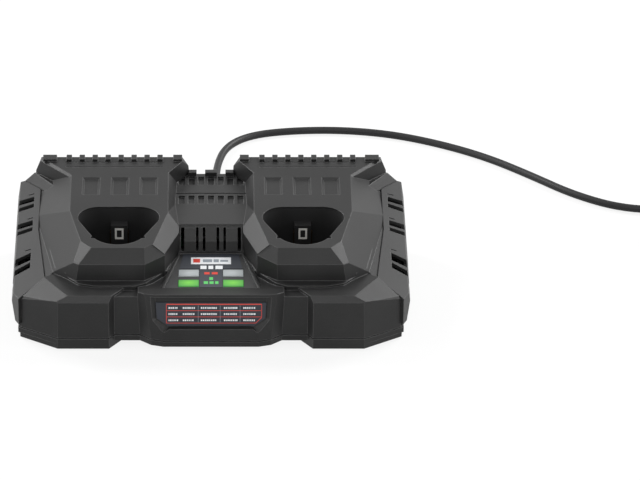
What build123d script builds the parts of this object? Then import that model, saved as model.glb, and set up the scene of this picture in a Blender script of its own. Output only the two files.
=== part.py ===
from build123d import *
import os
from math import atan, cos, pi, radians, sin, tan

os.makedirs("parts", exist_ok=True)

# A twin charger for stem batteries. Millimetres, +Z up, +Y to the back, +X to the right.
# The origin is under the middle of the housing, at the level of the rubber feet.

# ---------------------------------------------------------------- overall sizes
overall_width = 215.0
overall_depth = 125.0
wall = 2.4
fit_gap = 0.2               # between two moulded pieces that fit together
half_width = overall_width / 2
front_y = -overall_depth / 2
back_y = overall_depth / 2

# ---------------------------------------------------------------- heights
foot_pad_height = 1.0       # rubber pad below the moulded foot
underside_z = 3.8           # underside of the tray between the feet
tray_floor = 2.2            # thickness of the tray's floor
parting_z = 7.4             # where the two housings meet
groove_height = 0.6         # shadow groove along the parting line
deck_z = 31.6               # shoulder in front of the towers
recess_drop = 1.4           # deck between foot and visor, below the shoulder
wall_top_z = 42.4           # top of a tower's front wall
plane_front_z = 49.1        # front edge of a tower's socket plane
plane_tilt = 4.0            # degrees that the socket plane rises to the back
bridge_z = 45.5             # top of the bridge between the towers
ridge_height = 1.5          # teeth above the socket plane

# ---------------------------------------------------------------- plan
socket_pitch = 100.0        # between the two batteries
tower_x = socket_pitch / 2
tower_front_y = front_y + 27.5
foot_front_y = front_y + 3.0
recess_y = front_y + 7.3
visor_half_width = 38.0
foot_inner_x = tower_x + 4.5
foot_corner_x = half_width - 25.5
side_x = half_width - 3.9   # outer face of the lower housing


def plane_z(y):
    """Height of the socket plane at y."""
    return plane_front_z + (y - tower_front_y) * tan(radians(plane_tilt))


def side_z(x, y):
    """Height of the sloping side deck, which rises to the back and falls outwards."""
    return deck_z + (y - tower_front_y - 8) * 0.148 - (x - half_width + 16) * 0.3


def post_roof(x, y):
    """Top of a screw post, in the skin of the front deck, the side deck or a tower's flank."""
    if x < tower_x:
        return deck_z - recess_drop - 1.0
    if y < 0:
        return side_z(x, y) - 2.6
    return side_z(x, y)


def facet_plane(a, b, c, core):
    """Plane through three points, with its normal away from the point core."""
    origin = Vector(*a)
    normal = (Vector(*b) - origin).cross(Vector(*c) - origin).normalized()
    if normal.dot(Vector(*core) - origin) > 0:
        normal = normal * -1
    return Plane(origin=origin, z_dir=normal)


def trimmed_block(low, high, facets, core, inset=0.0, drop=0.0):
    """A box trimmed by flat facets. inset moves every face inwards, drop lowers the bottom."""
    size = [h - l - 2 * inset for l, h in zip(low, high)]
    centre = [(h + l) / 2 for l, h in zip(low, high)]
    with BuildPart() as block:
        with Locations((centre[0], centre[1], centre[2] - drop / 2 - inset / 2)):
            Box(size[0], size[1], size[2] + drop + inset)
        for a, b, c in facets:
            split(bisect_by=facet_plane(a, b, c, core).offset(-inset), keep=Keep.BOTTOM)
    return block.part


# ---------------------------------------------------------------- outer form, right half
# A tower: socket plane, front slope and wall, corner facets and side slopes.
plane_outer = [
    (tower_x + 14.0, tower_front_y, plane_front_z),
    (tower_x + 20.0, tower_front_y + 7.3, plane_z(tower_front_y + 7.3)),
    (tower_x + 26.6, tower_front_y + 38.5, plane_z(tower_front_y + 38.5)),
    (tower_x + 27.0, back_y - 19.5, plane_z(back_y - 19.5)),
]
plane_inner = [
    (tower_x - 14.2, tower_front_y, plane_front_z),
    (tower_x - 19.2, tower_front_y + 4.7, plane_z(tower_front_y + 4.7)),
    (tower_x - 26.7, tower_front_y + 37.5, plane_z(tower_front_y + 37.5)),
    (tower_x - 26.5, back_y - 17.5, plane_z(back_y - 17.5)),
]
wall_outer = [
    (tower_x + 20.8, tower_front_y - 6.6, wall_top_z),
    (tower_x + 29.7, tower_front_y + 1.6, wall_top_z),
]
wall_inner = [
    (tower_x - 14.7, tower_front_y - 6.6, wall_top_z),
    (tower_x - 25.2, tower_front_y + 3.2, wall_top_z),
]
foot_of_wall = (tower_x, tower_front_y - 7.0, deck_z)
lip_outer_front = (half_width - 23.3, tower_front_y + 4.0, deck_z + 1.4)
lip_outer_back = (half_width - 15.6, back_y - 15.0, side_z(half_width - 15.6, back_y - 15.0))
wall_inner_foot = (tower_x - 25.2, tower_front_y + 3.2, deck_z)
cheek_corner = (tower_x - 33.8, tower_front_y + 32.0, bridge_z - 1.5)
cheek_foot = (cheek_corner[0], cheek_corner[1], deck_z)
cheek_end = (tower_x - 30.6, tower_front_y + 57.0, bridge_z)
canyon_edge = (tower_x - 30.6, back_y - 29.5, bridge_z)
tower_core = (tower_x, tower_front_y + 30.0, deck_z + 5.0)
tower_facets = [
    (plane_outer[0], plane_inner[0], plane_outer[3]),
    (plane_outer[0], plane_inner[0], wall_outer[0]),
    (wall_outer[0], wall_inner[0], foot_of_wall),
    (plane_outer[0], plane_outer[1], wall_outer[0]),
    (wall_outer[0], wall_outer[1], lip_outer_front),
    (plane_outer[1], plane_outer[2], lip_outer_front),
    (plane_outer[2], plane_outer[3], lip_outer_back),
    (plane_inner[0], plane_inner[1], wall_inner[0]),
    (wall_inner[0], wall_inner[1], wall_inner_foot),
    (plane_inner[1], plane_inner[2], cheek_corner),
    (wall_inner_foot, cheek_foot, cheek_corner),
    (plane_inner[2], plane_inner[3], canyon_edge),
]
tower_low = (tower_x - 36.0, tower_front_y - 7.6, deck_z - 14.0)
tower_high = (half_width - 10.0, back_y, plane_z(back_y) + 2.0)

# The cheek narrows the gap between the towers where the bridge ends.
cheek_facets = [
    (plane_outer[0], plane_inner[0], plane_outer[3]),
    (plane_inner[1], plane_inner[2], cheek_corner),
    (wall_inner_foot, cheek_foot, cheek_corner),
    (plane_inner[2], cheek_corner, cheek_end),
]
cheek_low = (tower_x - 36.0, tower_front_y + 3.2, deck_z - 14.0)
cheek_high = (tower_x - 14.0, tower_front_y + 60.0, plane_z(back_y))
cheek_core = (tower_x - 20.0, tower_front_y + 34.0, deck_z + 5.0)

# The rear wing carries the ridge outwards from the tower, with a bevel along its front.
wing_corner = (half_width - 16.0, back_y - 2.0, plane_z(back_y) + 0.4)
wing_end = (half_width - 11.5, back_y - 2.0, plane_z(back_y) - 1.6)
wing_wall_front = (half_width - 22.4, back_y - 13.5, deck_z + 10.0)
wing_wall_back = (half_width - 10.8, back_y - 1.0, deck_z + 10.0)
wing_wall_top = (half_width - 23.0, back_y - 13.5, deck_z + 24.0)
wing_top_corner = (half_width - 14.1, back_y, plane_z(back_y) + 2.0)
wing_foot_corner = (half_width - 9.2, back_y, bridge_z)
wing_facets = [
    (plane_outer[0], plane_inner[0], plane_outer[3]),
    (plane_outer[3], wing_corner, wing_end),
    (wing_wall_front, wing_wall_back, wing_wall_top),
    (wing_top_corner, wing_foot_corner, (wing_top_corner[0], back_y - 10.0, wing_top_corner[2])),
]
wing_low = (tower_x + 16.0, back_y - 26.0, deck_z - 8.0)
wing_high = (half_width - 9.0, back_y, plane_z(back_y) + 2.0)
wing_core = (tower_x + 24.0, back_y - 6.0, deck_z + 6.0)

# The side deck lies between the tower and the vent panel.
vent_inner_x = half_width - 13.1
vent_inner_front_x = half_width - 18.2
vent_bend_y = tower_front_y + 47.0
vent_front_y = tower_front_y
side_plane = (
    (half_width - 16, tower_front_y + 8, side_z(half_width - 16, tower_front_y + 8)),
    (half_width - 16, back_y, side_z(half_width - 16, back_y)),
    (half_width - 6, back_y, side_z(half_width - 6, back_y)),
)
side_sink = 0.8             # side deck below the vent panel's surface
side_floor = [(x, y, z - side_sink) for x, y, z in side_plane]
side_ramp = (
    lip_outer_front,
    (half_width - 16, tower_front_y + 8, deck_z),
    (half_width - 23.3, tower_front_y - 2, deck_z - 0.1),
)
vent_front_line = (
    (vent_inner_front_x, vent_front_y, parting_z),
    (half_width - 5.8, vent_front_y - 11.5, parting_z),
    (vent_inner_front_x, vent_front_y, deck_z),
)

# A front foot: rounded off by a top strip, a corner chamfer and a pale corner facet.
foot_strip = 3.0
foot_ridge_y = foot_front_y + 2.5
chamfer_end = (side_x, foot_front_y + 13.9, parting_z)
foot_facets = [
    (
        (foot_inner_x, foot_front_y, deck_z - foot_strip),
        (foot_corner_x, foot_front_y, deck_z - foot_strip),
        (foot_inner_x, foot_ridge_y, deck_z),
    ),
    (
        (foot_inner_x, foot_front_y, parting_z),
        (foot_inner_x - 9.0, foot_front_y + 13.5, parting_z),
        (foot_inner_x, foot_front_y, deck_z),
    ),
    (
        (foot_corner_x, foot_front_y, parting_z),
        chamfer_end,
        (foot_corner_x, foot_front_y + 0.4, deck_z),
    ),
    (
        (foot_corner_x + 1.1, foot_front_y + 0.2, deck_z - foot_strip),
        (side_x - 2.2, foot_front_y + 12.2, deck_z - 7.4),
        (foot_corner_x + 1.3, foot_front_y + 2.2, deck_z - 1.7),
    ),
    (
        (half_width - 18.2, tower_front_y - 0.8, deck_z),
        (half_width - 25.8, tower_front_y - 13.2, deck_z),
        (half_width - 6.0, tower_front_y - 10.4, deck_z - 6.0),
    ),
    vent_front_line,
]
foot_low = (foot_inner_x - 10.0, foot_front_y, parting_z)
foot_high = (side_x, tower_front_y + 15.0, deck_z)
foot_core = (foot_corner_x - 8.0, foot_front_y + 16.0, parting_z + 8.0)

# The visor block in the middle of the front, over the label pocket.
visor_z = deck_z + 2.4
visor_draft = 2.3
visor_facets = [
    (
        (0, front_y, parting_z),
        (10, front_y, parting_z),
        (0, front_y + visor_draft, visor_z),
    ),
    (
        (0, front_y + visor_draft, visor_z),
        (10, front_y + visor_draft, visor_z),
        (0, front_y + 15.2, deck_z),
    ),
    (
        (25.5, front_y, parting_z),
        (32.0, front_y + 2.0, parting_z),
        (25.5 + 5.0, front_y + visor_draft, visor_z),
    ),
    (
        (32.0, front_y + 2.0, parting_z),
        (visor_half_width, recess_y, parting_z),
        (34.0, front_y + 2.6, visor_z),
    ),
]
visor_low = (-6.0, front_y, parting_z)
visor_high = (visor_half_width + 1.0, front_y + 30.0, visor_z)
visor_core = (8.0, front_y + 16.0, parting_z + 8.0)

# The bridge between the towers, with the sloped face that carries the grille.
grille_top_y = tower_front_y + 35.5
grille_knee_y = grille_top_y - 6.5
grille_knee_z = bridge_z - 7.3
grille_foot_y = grille_knee_y - 2.3
bridge_half_width = 25.0
bridge_facets = [
    (
        (0, grille_top_y, bridge_z),
        (10, grille_top_y, bridge_z),
        (0, grille_knee_y, grille_knee_z),
    ),
    (
        (0, grille_knee_y, grille_knee_z),
        (10, grille_knee_y, grille_knee_z),
        (0, grille_foot_y, deck_z),
    ),
]
bridge_low = (-6.0, grille_foot_y - 2.0, deck_z - 12.0)
bridge_high = (bridge_half_width, back_y, bridge_z)
bridge_core = (6.0, back_y - 12.0, deck_z - 4.0)

# A vent panel's outer form; the housing's side fills it with a small gap.
vent_wall = 1.8
vent_bottom_z = parting_z + 2.1
vent_low = (half_width - 27.0, vent_front_y - 14.0, vent_bottom_z)
vent_high = (half_width, back_y, deck_z + 16.0)
vent_edge_x = half_width - 1.4
vent_core = (half_width - 14.0, tower_front_y + 40.0, parting_z + 10.0)
vent_facets = [
    side_plane,
    (
        (vent_edge_x, tower_front_y, side_z(vent_edge_x, tower_front_y)),
        (vent_edge_x, back_y, side_z(vent_edge_x, back_y)),
        (half_width, tower_front_y, side_z(vent_edge_x, tower_front_y) - 9.0),
    ),
    vent_front_line,
    (
        (half_width - 3.7, vent_front_y - 11.5, parting_z),
        (half_width, vent_front_y - 3.0, parting_z),
        (half_width - 3.7, vent_front_y - 11.5, deck_z),
    ),
    (
        (half_width, tower_front_y, parting_z + 14.6),
        (half_width, back_y, parting_z + 14.6),
        (half_width - 2.2, tower_front_y, vent_bottom_z),
    ),
]
vent_bend = (
    (vent_inner_x, vent_bend_y, parting_z),
    (vent_inner_front_x, vent_front_y, parting_z),
    (vent_inner_x, vent_bend_y, deck_z),
)
# The shoulder: a sloping facet behind the vent panel, under the wing.
vent_rear = (
    (half_width - 15.7, back_y - 15.6, parting_z),
    (half_width - 3.7, back_y, parting_z),
    (half_width - 15.7, back_y - 15.6, deck_z),
)
shoulder_facets = [
    (
        (half_width - 3.9, back_y, deck_z + 9.6),
        (half_width - 8.4, back_y, deck_z + 13.8),
        (half_width - 15.7, back_y - 15.6, deck_z + 10.8),
    ),
    vent_rear,
]
shoulder_low = (half_width - 24.0, back_y - 18.0, deck_z - 6.0)
shoulder_high = (half_width - 3.7, back_y, bridge_z + 0.8)
shoulder_core = (half_width - 19.0, back_y - 6.0, deck_z)
behind_low = (half_width - 30.0, back_y - 18.0, 0.0)
behind_high = (half_width + 2.0, back_y + 5.0, vent_high[2] + 5.0)
beside_low = (vent_low[0] - 5.0, vent_low[1] - 5.0, 0.0)
beside_high = (vent_inner_x, back_y + 5.0, vent_high[2] + 5.0)
side_low = (tower_x + 29.0, tower_front_y - 4.0, parting_z)
side_high = (vent_inner_x, back_y, deck_z + 18.0)
side_facets = [
    side_floor,
    side_ramp,
    vent_front_line,
    vent_bend,
]
side_core = (half_width - 19.0, tower_front_y + 40.0, parting_z + 10.0)
deck_low = (-6.0, recess_y, parting_z)
deck_high = (half_width - 20.0, back_y, deck_z - recess_drop)
deck_core = (20.0, 0.0, parting_z + 10.0)
deck_facets = [
    (
        (foot_corner_x - 6.0, recess_y, parting_z),
        (half_width - 20.0, tower_front_y - 3.0, parting_z),
        (foot_corner_x - 6.0, recess_y, deck_z),
    ),
]

# The apron carries the indicator panel, between the visor and the grille.
panel_top_y = grille_foot_y - 0.6
panel_bottom_y = front_y + 13.9
panel_top_half = 15.6
panel_bottom_half = 24.2
apron_facets = [
    (
        (panel_top_half + 3.0, panel_top_y, deck_z),
        (panel_bottom_half + 3.0, panel_bottom_y, deck_z),
        (panel_bottom_half + 4.2, panel_bottom_y, deck_z - recess_drop),
    ),
]
apron_low = (-6.0, front_y + 12.0, deck_z - 8.0)
apron_high = (panel_bottom_half + 8.0, grille_foot_y + 3.0, deck_z)
apron_core = (4.0, front_y + 30.0, deck_z - 5.0)

# The skirt: a low step round the foot of each tower, with its own edge line.
skirt_height = 1.2
skirt_low_z = deck_z - 5.0
skirt_plan = [
    (half_width - 16.7, tower_front_y + 84.0),
    (half_width - 17.8, tower_front_y + 45.0),
    (half_width - 20.3, tower_front_y + 22.5),
    (half_width - 23.5, tower_front_y + 5.5),
    (half_width - 36.7, tower_front_y - 10.1),
    (half_width - 45.6, tower_front_y - 12.9),
    (tower_x - 9.4, tower_front_y - 12.9),
    (tower_x - 15.2, tower_front_y - 9.4),
    (tower_x - 26.6, tower_front_y + 5.6),
    (tower_x - 31.2, tower_front_y + 25.4),
    (tower_x - 20.0, tower_front_y + 84.0),
]

# A wing at the inner end of each tower's ridge, above the bridge.
inner_wing_facets = [
    (plane_outer[0], plane_inner[0], plane_outer[3]),
    (
        (tower_x - 34.0, back_y, plane_z(back_y)),
        (tower_x - 34.0, back_y - 5.0, plane_z(back_y)),
        (tower_x - 38.2, back_y, bridge_z + 4.0),
    ),
    (
        plane_inner[3],
        (tower_x - 34.0, back_y - 5.0, plane_z(back_y - 5.0)),
        (tower_x - 34.0, back_y - 6.5, bridge_z),
    ),
]
inner_wing_low = (tower_x - 38.5, back_y - 18.0, bridge_z - 6.0)
inner_wing_high = (tower_x - 20.0, back_y, plane_z(back_y) + 2.0)
inner_wing_core = (tower_x - 24.0, back_y - 4.0, bridge_z)

label_depth = 2.6
vent_clear = vent_wall + fit_gap
vent_core_facets = vent_facets[:4]     # all but the undercut at the panel's lower edge
vent_core_low = (vent_low[0], vent_low[1], parting_z)
vent_core_high = (side_x + vent_clear, vent_high[1], vent_high[2])
# low corner, high corner, facets, core and wall thickness of each block
housing_blocks = [
    (deck_low, deck_high, deck_facets, deck_core, wall),
    (foot_low, foot_high, foot_facets, foot_core, wall),
    (visor_low, visor_high, visor_facets, visor_core, wall + label_depth),
    (apron_low, apron_high, apron_facets, apron_core, wall),
    (bridge_low, bridge_high, bridge_facets, bridge_core, wall),
    (tower_low, tower_high, tower_facets, tower_core, wall),
    (cheek_low, cheek_high, cheek_facets, cheek_core, wall),
    (wing_low, wing_high, wing_facets, wing_core, wall),
    (inner_wing_low, inner_wing_high, inner_wing_facets, inner_wing_core, wall),
    (side_low, side_high, side_facets, side_core, wall),
    (shoulder_low, shoulder_high, shoulder_facets, shoulder_core, wall),
]

# ---------------------------------------------------------------- planes for details
# Right tower's socket plane: local x to the right from the battery's axis, local y up the slope.
socket_plane = Plane(
    origin=(tower_x, tower_front_y, plane_front_z),
    x_dir=(1, 0, 0),
    z_dir=(0, -sin(radians(plane_tilt)), cos(radians(plane_tilt))),
)
plane_length = (back_y - tower_front_y) / cos(radians(plane_tilt))
# Drafted front of the visor: local x to the right, local y up the face.
front_angle = atan(visor_draft / (visor_z - parting_z))
front_plane = Plane(
    origin=(0, front_y, parting_z),
    x_dir=(1, 0, 0),
    z_dir=(0, -cos(front_angle), sin(front_angle)),
)


def level(z):
    """Horizontal sketch plane at height z."""
    return Plane.XY.offset(z)


def mirrored(piece):
    """The same piece on the left side."""
    return mirror(piece, about=Plane.YZ, mode=Mode.PRIVATE)


# ---------------------------------------------------------------- ridge along the back
tooth_count = 8
tooth_pitch = 7.2
tooth_width = 3.0
tooth_length = 5.0
tooth_centre = 3.5          # middle of the row of teeth, from the battery's axis
ridge_ends = [(-34.0, -29.0), (half_width - 22.0 - tower_x, half_width - 14.3 - tower_x)]
line_grooves = [(10.8, 0.9), (5.6, 1.2)]   # distance from the back edge, width
line_groove_depth = 0.5
pocket_size = (9.8, 19.0)
pocket_pitch = 15.8
pocket_depth = 1.2
pocket_taper = 45.0
pocket_y = 65.8
bridge_tooth_height = 2.6
bridge_tooth_length = 3.6
small_pocket_pitch = 5.4
small_pocket_width = 3.5
small_pocket_depth = 1.2

# ---------------------------------------------------------------- battery sockets
# Three cells side by side: two at the back and one in front, on the socket plane.
socket_y = 32.0
cell_back_radius = 11.4
cell_back_x = 10.7
cell_front_radius = 15.5
cell_front_y = -13.1
socket_depth = 38.0
liner_wall = 1.6
socket_lip = 1.2            # housing left over the liner's top edge
liner_floor = 1.6
latch_notch = (13.6, -21.0)
latch_width = 2.0
latch_gap = 0.4             # by which the liner's notch is wider than the lip's

# ---------------------------------------------------------------- indicator panel
panel_seat = 1.3
panel_play = 0.15
panel_thickness = 1.6
window_size = (11.2, 7.8)
window_x = 12.0
window_gap = 4.0            # between the two rows of windows
window_lens = 2.1
window_play = 0.1
panel_bead = (0.9, 0.8)
window_rows = [
    panel_bottom_y + 1.2 + window_size[1] / 2,
    panel_bottom_y + 1.2 + window_size[1] * 1.5 + window_gap,
]

# ---------------------------------------------------------------- label pocket
label_half_width = 29.8
label_corner_x = 23.0
label_low = 7.4             # heights up the drafted face
label_corner = 12.0
label_top = 25.0
label_slope = 3.4           # width of the sloping sides and corners of the pocket
label_sill = 0.8            # rise of its lower edge
label_sheet_top = 21.3
label_sheet = 0.5

# ---------------------------------------------------------------- grille
grille_half_width = 17.2
grille_margin = 0.6         # housing left above and below the grille
grille_thickness = 1.2
grille_ledge = 0.9
grille_rib_height = 0.7     # ribs proud of the plate
grille_slots = [(3.75, 1.5), (7.45, 1.4), (15.4, 1.8)]
grille_rib_x = 14.0

# ---------------------------------------------------------------- fastenings
screw_radius = 1.45
screw_hole_radius = 1.5
screw_length = 12.0
screw_head_radius = 2.8
screw_head_height = 1.8
screw_boss_radius = 4.5
post_radius = 3.6
post_places = [(40.0, front_y + 15.5), (half_width - 21.5, 26.0), (half_width - 21.5, -18.0)]

# ---------------------------------------------------------------- cord exit
cord_diameter = 4.4
cord_x = 3.0
cord_z = 15.0
gland_neck_radius = 4.6
gland_flange_radius = 6.2
gland_flange = 2.0
gland_length = 26.0
gland_tip_radius = 3.0

# ---------------------------------------------------------------- vent panels
# middle of each slot at its inner end, width, forward slant and depth down the side
vent_slots = [
    (42.2, 4.6, 0.4, 3.0),
    (36.2, 3.6, 1.2, 6.0),
    (19.7, 5.0, 0.6, 3.0),
    (13.8, 3.4, 1.2, 3.0),
    (-11.7, 7.0, 3.8, 3.0),
    (-19.6, 5.0, 5.2, 15.6),
]
vent_short_slots = [47.2, 24.3, -5.2]
vent_slot_inner_x = half_width - 9.8
vent_intakes = [(39.0, 13.0), (16.6, 12.6), (-15.8, 19.0)]   # openings behind the slots

# ---------------------------------------------------------------- contacts
socket_back = socket_y + cell_back_radius
post_half = 4.5
post_depth = 5.0
post_top = 9.3              # depth of the post's top below the socket plane
frame_top = 10.9            # depth of the contact's frame below the socket plane
frame_width = 4.7
frame_height = 6.6
frame_bar = 1.0
contact_sheet = 0.7
contact_tail = 2.4
tail_gap = 0.1
tail_end = 2.0              # tails below the liner
blade_width = 3.0
blade_top = 14.0
sticker_thickness = 0.2
sticker_tab = 12.4

# ---------------------------------------------------------------- lower housing
tray_rim = wall + 0.2
groove_depth = 0.8
tongue_height = 2.0
tongue_gap = 0.15
tongue_width = 1.2
# middle and size in x and y of the tongues on one side
tongue_in = wall + tongue_gap + tongue_width / 2
tongues = [
    (60.0, back_y - tongue_in, 60.0, tongue_width),
    (side_x - tongue_in, 20.0, tongue_width, 60.0),
    (68.0, foot_front_y + tongue_in, 18.0, tongue_width),
    (10.0, front_y + label_depth + tongue_in + 0.3, 16.0, tongue_width),
]
foot_pad_radius = 5.0
foot_pad_seat = 0.8
foot_places = [(sx * 78.0, y) for sx in (-1, 1) for y in (front_y + 17.0, back_y - 13.5)]

# ---------------------------------------------------------------- main board and its screws
board_z = 10.0
board_thickness = 1.6
board_half_width = 76.0
board_front_y = 15.0
board_back_y = back_y - 6.5
board_top_z = board_z + board_thickness
standoff_radius = 3.0
small_screw_radius = 1.2
small_screw_length = 5.6
small_head_radius = 2.2
small_head_height = 1.4
board_screw_places = [(sx * 70.0, y) for sx in (-1, 1) for y in (board_front_y + 5.0, board_back_y - 5.0)]
clamp_screw_x = 8.0
clamp_y = back_y - 11.0
indicator_board_z = 21.0
indicator_post_x = 18.0
indicator_post_y = front_y + 34.0

# ---------------------------------------------------------------- fan
fan_y = 0.0                 # front face of the fan's frame
fan_size = 30.0
fan_depth = 10.0
fan_bottom_z = 8.0
cradle_top_z = 26.0
fan_bore = 14.2


def socket_outline(grow):
    """Rounded triangle of a battery's stem, larger by grow all round, drawn on its own centre."""
    with BuildSketch() as outline:
        with Locations((-cell_back_x, 0), (cell_back_x, 0)):
            Circle(cell_back_radius + grow)
        with Locations((0, cell_front_y)):
            Circle(cell_front_radius + grow)
        make_hull()
    return outline.sketch


def panel_outline(grow):
    """Trapezoid of the indicator panel, larger by grow all round."""
    with BuildSketch() as outline:
        with BuildLine():
            Polyline(
                (-panel_top_half - grow, panel_top_y + grow),
                (panel_top_half + grow, panel_top_y + grow),
                (panel_bottom_half + grow, panel_bottom_y - grow),
                (-panel_bottom_half - grow, panel_bottom_y - grow),
                close=True,
            )
        make_face()
    return outline.sketch


def label_outline(grow, top):
    """Outline of the label pocket, cut off at both lower corners and larger by grow."""
    side = label_half_width + grow
    lower = label_corner_x + grow * 0.5
    with BuildSketch() as outline:
        with BuildLine():
            Polyline(
                (-side, top),
                (side, top),
                (side - 0.6, label_corner - grow * 0.5),
                (lower, label_low - grow),
                (-lower, label_low - grow),
                (-side + 0.6, label_corner - grow * 0.5),
                close=True,
            )
        make_face()
    return outline.sketch


def label_mouth():
    """Edge of the label pocket on the face: its sides and corners slope, its sill is steep."""
    lean = label_slope * 0.6
    with BuildSketch() as outline:
        with BuildLine():
            half = [
                (label_half_width + label_slope, label_top),
                (label_half_width + label_slope - 0.4, label_corner - 0.4),
                (label_corner_x + lean, label_low - label_slope * 0.8),
                (label_corner_x - 0.4, label_low - label_sill),
            ]
            Polyline(*half, *[(-x, y) for x, y in reversed(half)], close=True)
        make_face()
    return outline.sketch


def label_floor():
    """Floor of the label pocket, with as many corners as its mouth."""
    with BuildSketch() as outline:
        with BuildLine():
            half = [
                (label_half_width, label_top),
                (label_half_width - 0.6, label_corner),
                (label_corner_x, label_low),
                (label_corner_x - 0.4, label_low),
            ]
            Polyline(*half, *[(-x, y) for x, y in reversed(half)], close=True)
        make_face()
    return outline.sketch


def base_outline():
    """Plan of the housing at the parting line."""
    recess_corner_x = foot_inner_x - (recess_y - foot_front_y) * 9.0 / 13.5
    right = [
        (25.5, front_y),
        (32.0, front_y + 2.0),
        (visor_half_width, recess_y),
        (recess_corner_x, recess_y),
        (foot_inner_x, foot_front_y),
        (foot_corner_x, foot_front_y),
        (side_x, chamfer_end[1]),
        (side_x, back_y),
    ]
    left = [(-x, y) for x, y in reversed(right)]
    with BuildSketch() as outline:
        with BuildLine():
            Polyline(*right, *left, close=True)
        make_face()
    return outline.sketch


# ---------------------------------------------------------------- hollow of the upper housing
with BuildPart() as half_hollow:
    for low, high, facets, core, thickness in housing_blocks:
        below = 4.0 if low[2] == parting_z else 0.0
        add(trimmed_block(low, high, facets, core, inset=thickness, drop=below))
    add(trimmed_block(vent_core_low, vent_core_high, vent_core_facets, vent_core,
                      inset=vent_clear + wall, drop=4.0))

# ---------------------------------------------------------------- skirt of the right tower
with BuildPart() as skirt:
    add(trimmed_block(side_low, side_high, [side_floor, side_ramp], side_core, inset=-skirt_height))
    with Locations((tower_x, tower_front_y + 36.0, (deck_z + skirt_height + skirt_low_z) / 2)):
        Box(2 * half_width, 100.0, deck_z + skirt_height - skirt_low_z)
    with BuildSketch(level(skirt_low_z)):
        with BuildLine():
            Polyline(*skirt_plan, close=True)
        make_face()
    extrude(amount=side_high[2], mode=Mode.INTERSECT)

# ---------------------------------------------------------------- room for the right vent panel
with BuildPart() as vent_room:
    add(trimmed_block(vent_low, vent_high, vent_facets, vent_core, inset=-fit_gap, drop=fit_gap))
    add(trimmed_block(vent_low, vent_high, vent_facets, vent_core, inset=vent_clear, drop=10.0),
        mode=Mode.SUBTRACT)
    add(trimmed_block(beside_low, beside_high, [vent_bend], side_core, inset=fit_gap), mode=Mode.SUBTRACT)
    add(trimmed_block(behind_low, behind_high, [vent_rear], shoulder_core, inset=fit_gap), mode=Mode.SUBTRACT)

# ---------------------------------------------------------------- cuts in one half of the housing
with BuildPart() as half_cuts:
    # socket, the room for its liner below the lip, and the shallow pockets and lines behind it
    with BuildSketch(socket_plane.offset(3.0)):
        with Locations((0, socket_y)):
            add(socket_outline(0.0))
        for side in (-1, 1):
            with Locations((side * latch_notch[0], socket_y + latch_notch[1])):
                Rectangle(latch_width, latch_width)
    extrude(amount=-3.0 - socket_lip)
    with BuildSketch(socket_plane.offset(-socket_lip)):
        with Locations((0, socket_y)):
            add(socket_outline(liner_wall + fit_gap))
    extrude(amount=-socket_depth - liner_floor - 5.0)
    with BuildSketch(socket_plane.offset(0.01)):
        with Locations((0, pocket_y)):
            with GridLocations(pocket_pitch, 1, 3, 1):
                Rectangle(pocket_size[0], pocket_size[1])
    extrude(amount=-pocket_depth, taper=pocket_taper)
    with BuildSketch(socket_plane.offset(1.0)):
        for from_back, width in line_grooves:
            with Locations((tooth_centre, plane_length - from_back)):
                Rectangle(tooth_pitch * tooth_count - 4.0, width)
    extrude(amount=-1.0 - line_groove_depth)
    # intakes behind the vent panel
    for y, length in vent_intakes:
        with Locations((side_x - wall - 0.6, y, deck_z + 4.0)):
            Box(10.0, length, 26.0)
    # screw holes
    for x, y in post_places:
        with BuildSketch(level(parting_z - 1.0)):
            with Locations((x, y)):
                Circle(screw_hole_radius)
        extrude(amount=screw_length + 1.0)
    mirror(about=Plane.YZ)

# ---------------------------------------------------------------- room for the grille
grille_low_z = deck_z + grille_margin
grille_high_z = bridge_z - grille_margin
grille_low = (-grille_half_width, grille_knee_y - 12.0, grille_low_z)
grille_high = (grille_half_width, grille_knee_y + 12.0, grille_high_z)
grille_beyond = grille_thickness + 2.0
grille_backing = trimmed_block(
    [v - grille_beyond for v in grille_low],
    [v + grille_beyond for v in grille_high],
    bridge_facets,
    bridge_core,
    inset=grille_thickness,
)
with BuildPart() as grille_rebate:
    with Locations((0, grille_knee_y, (grille_low_z + grille_high_z) / 2)):
        Box(2 * grille_half_width + 0.3, 24.0, grille_high_z - grille_low_z + 0.3)
    add(grille_backing, mode=Mode.SUBTRACT)

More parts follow.
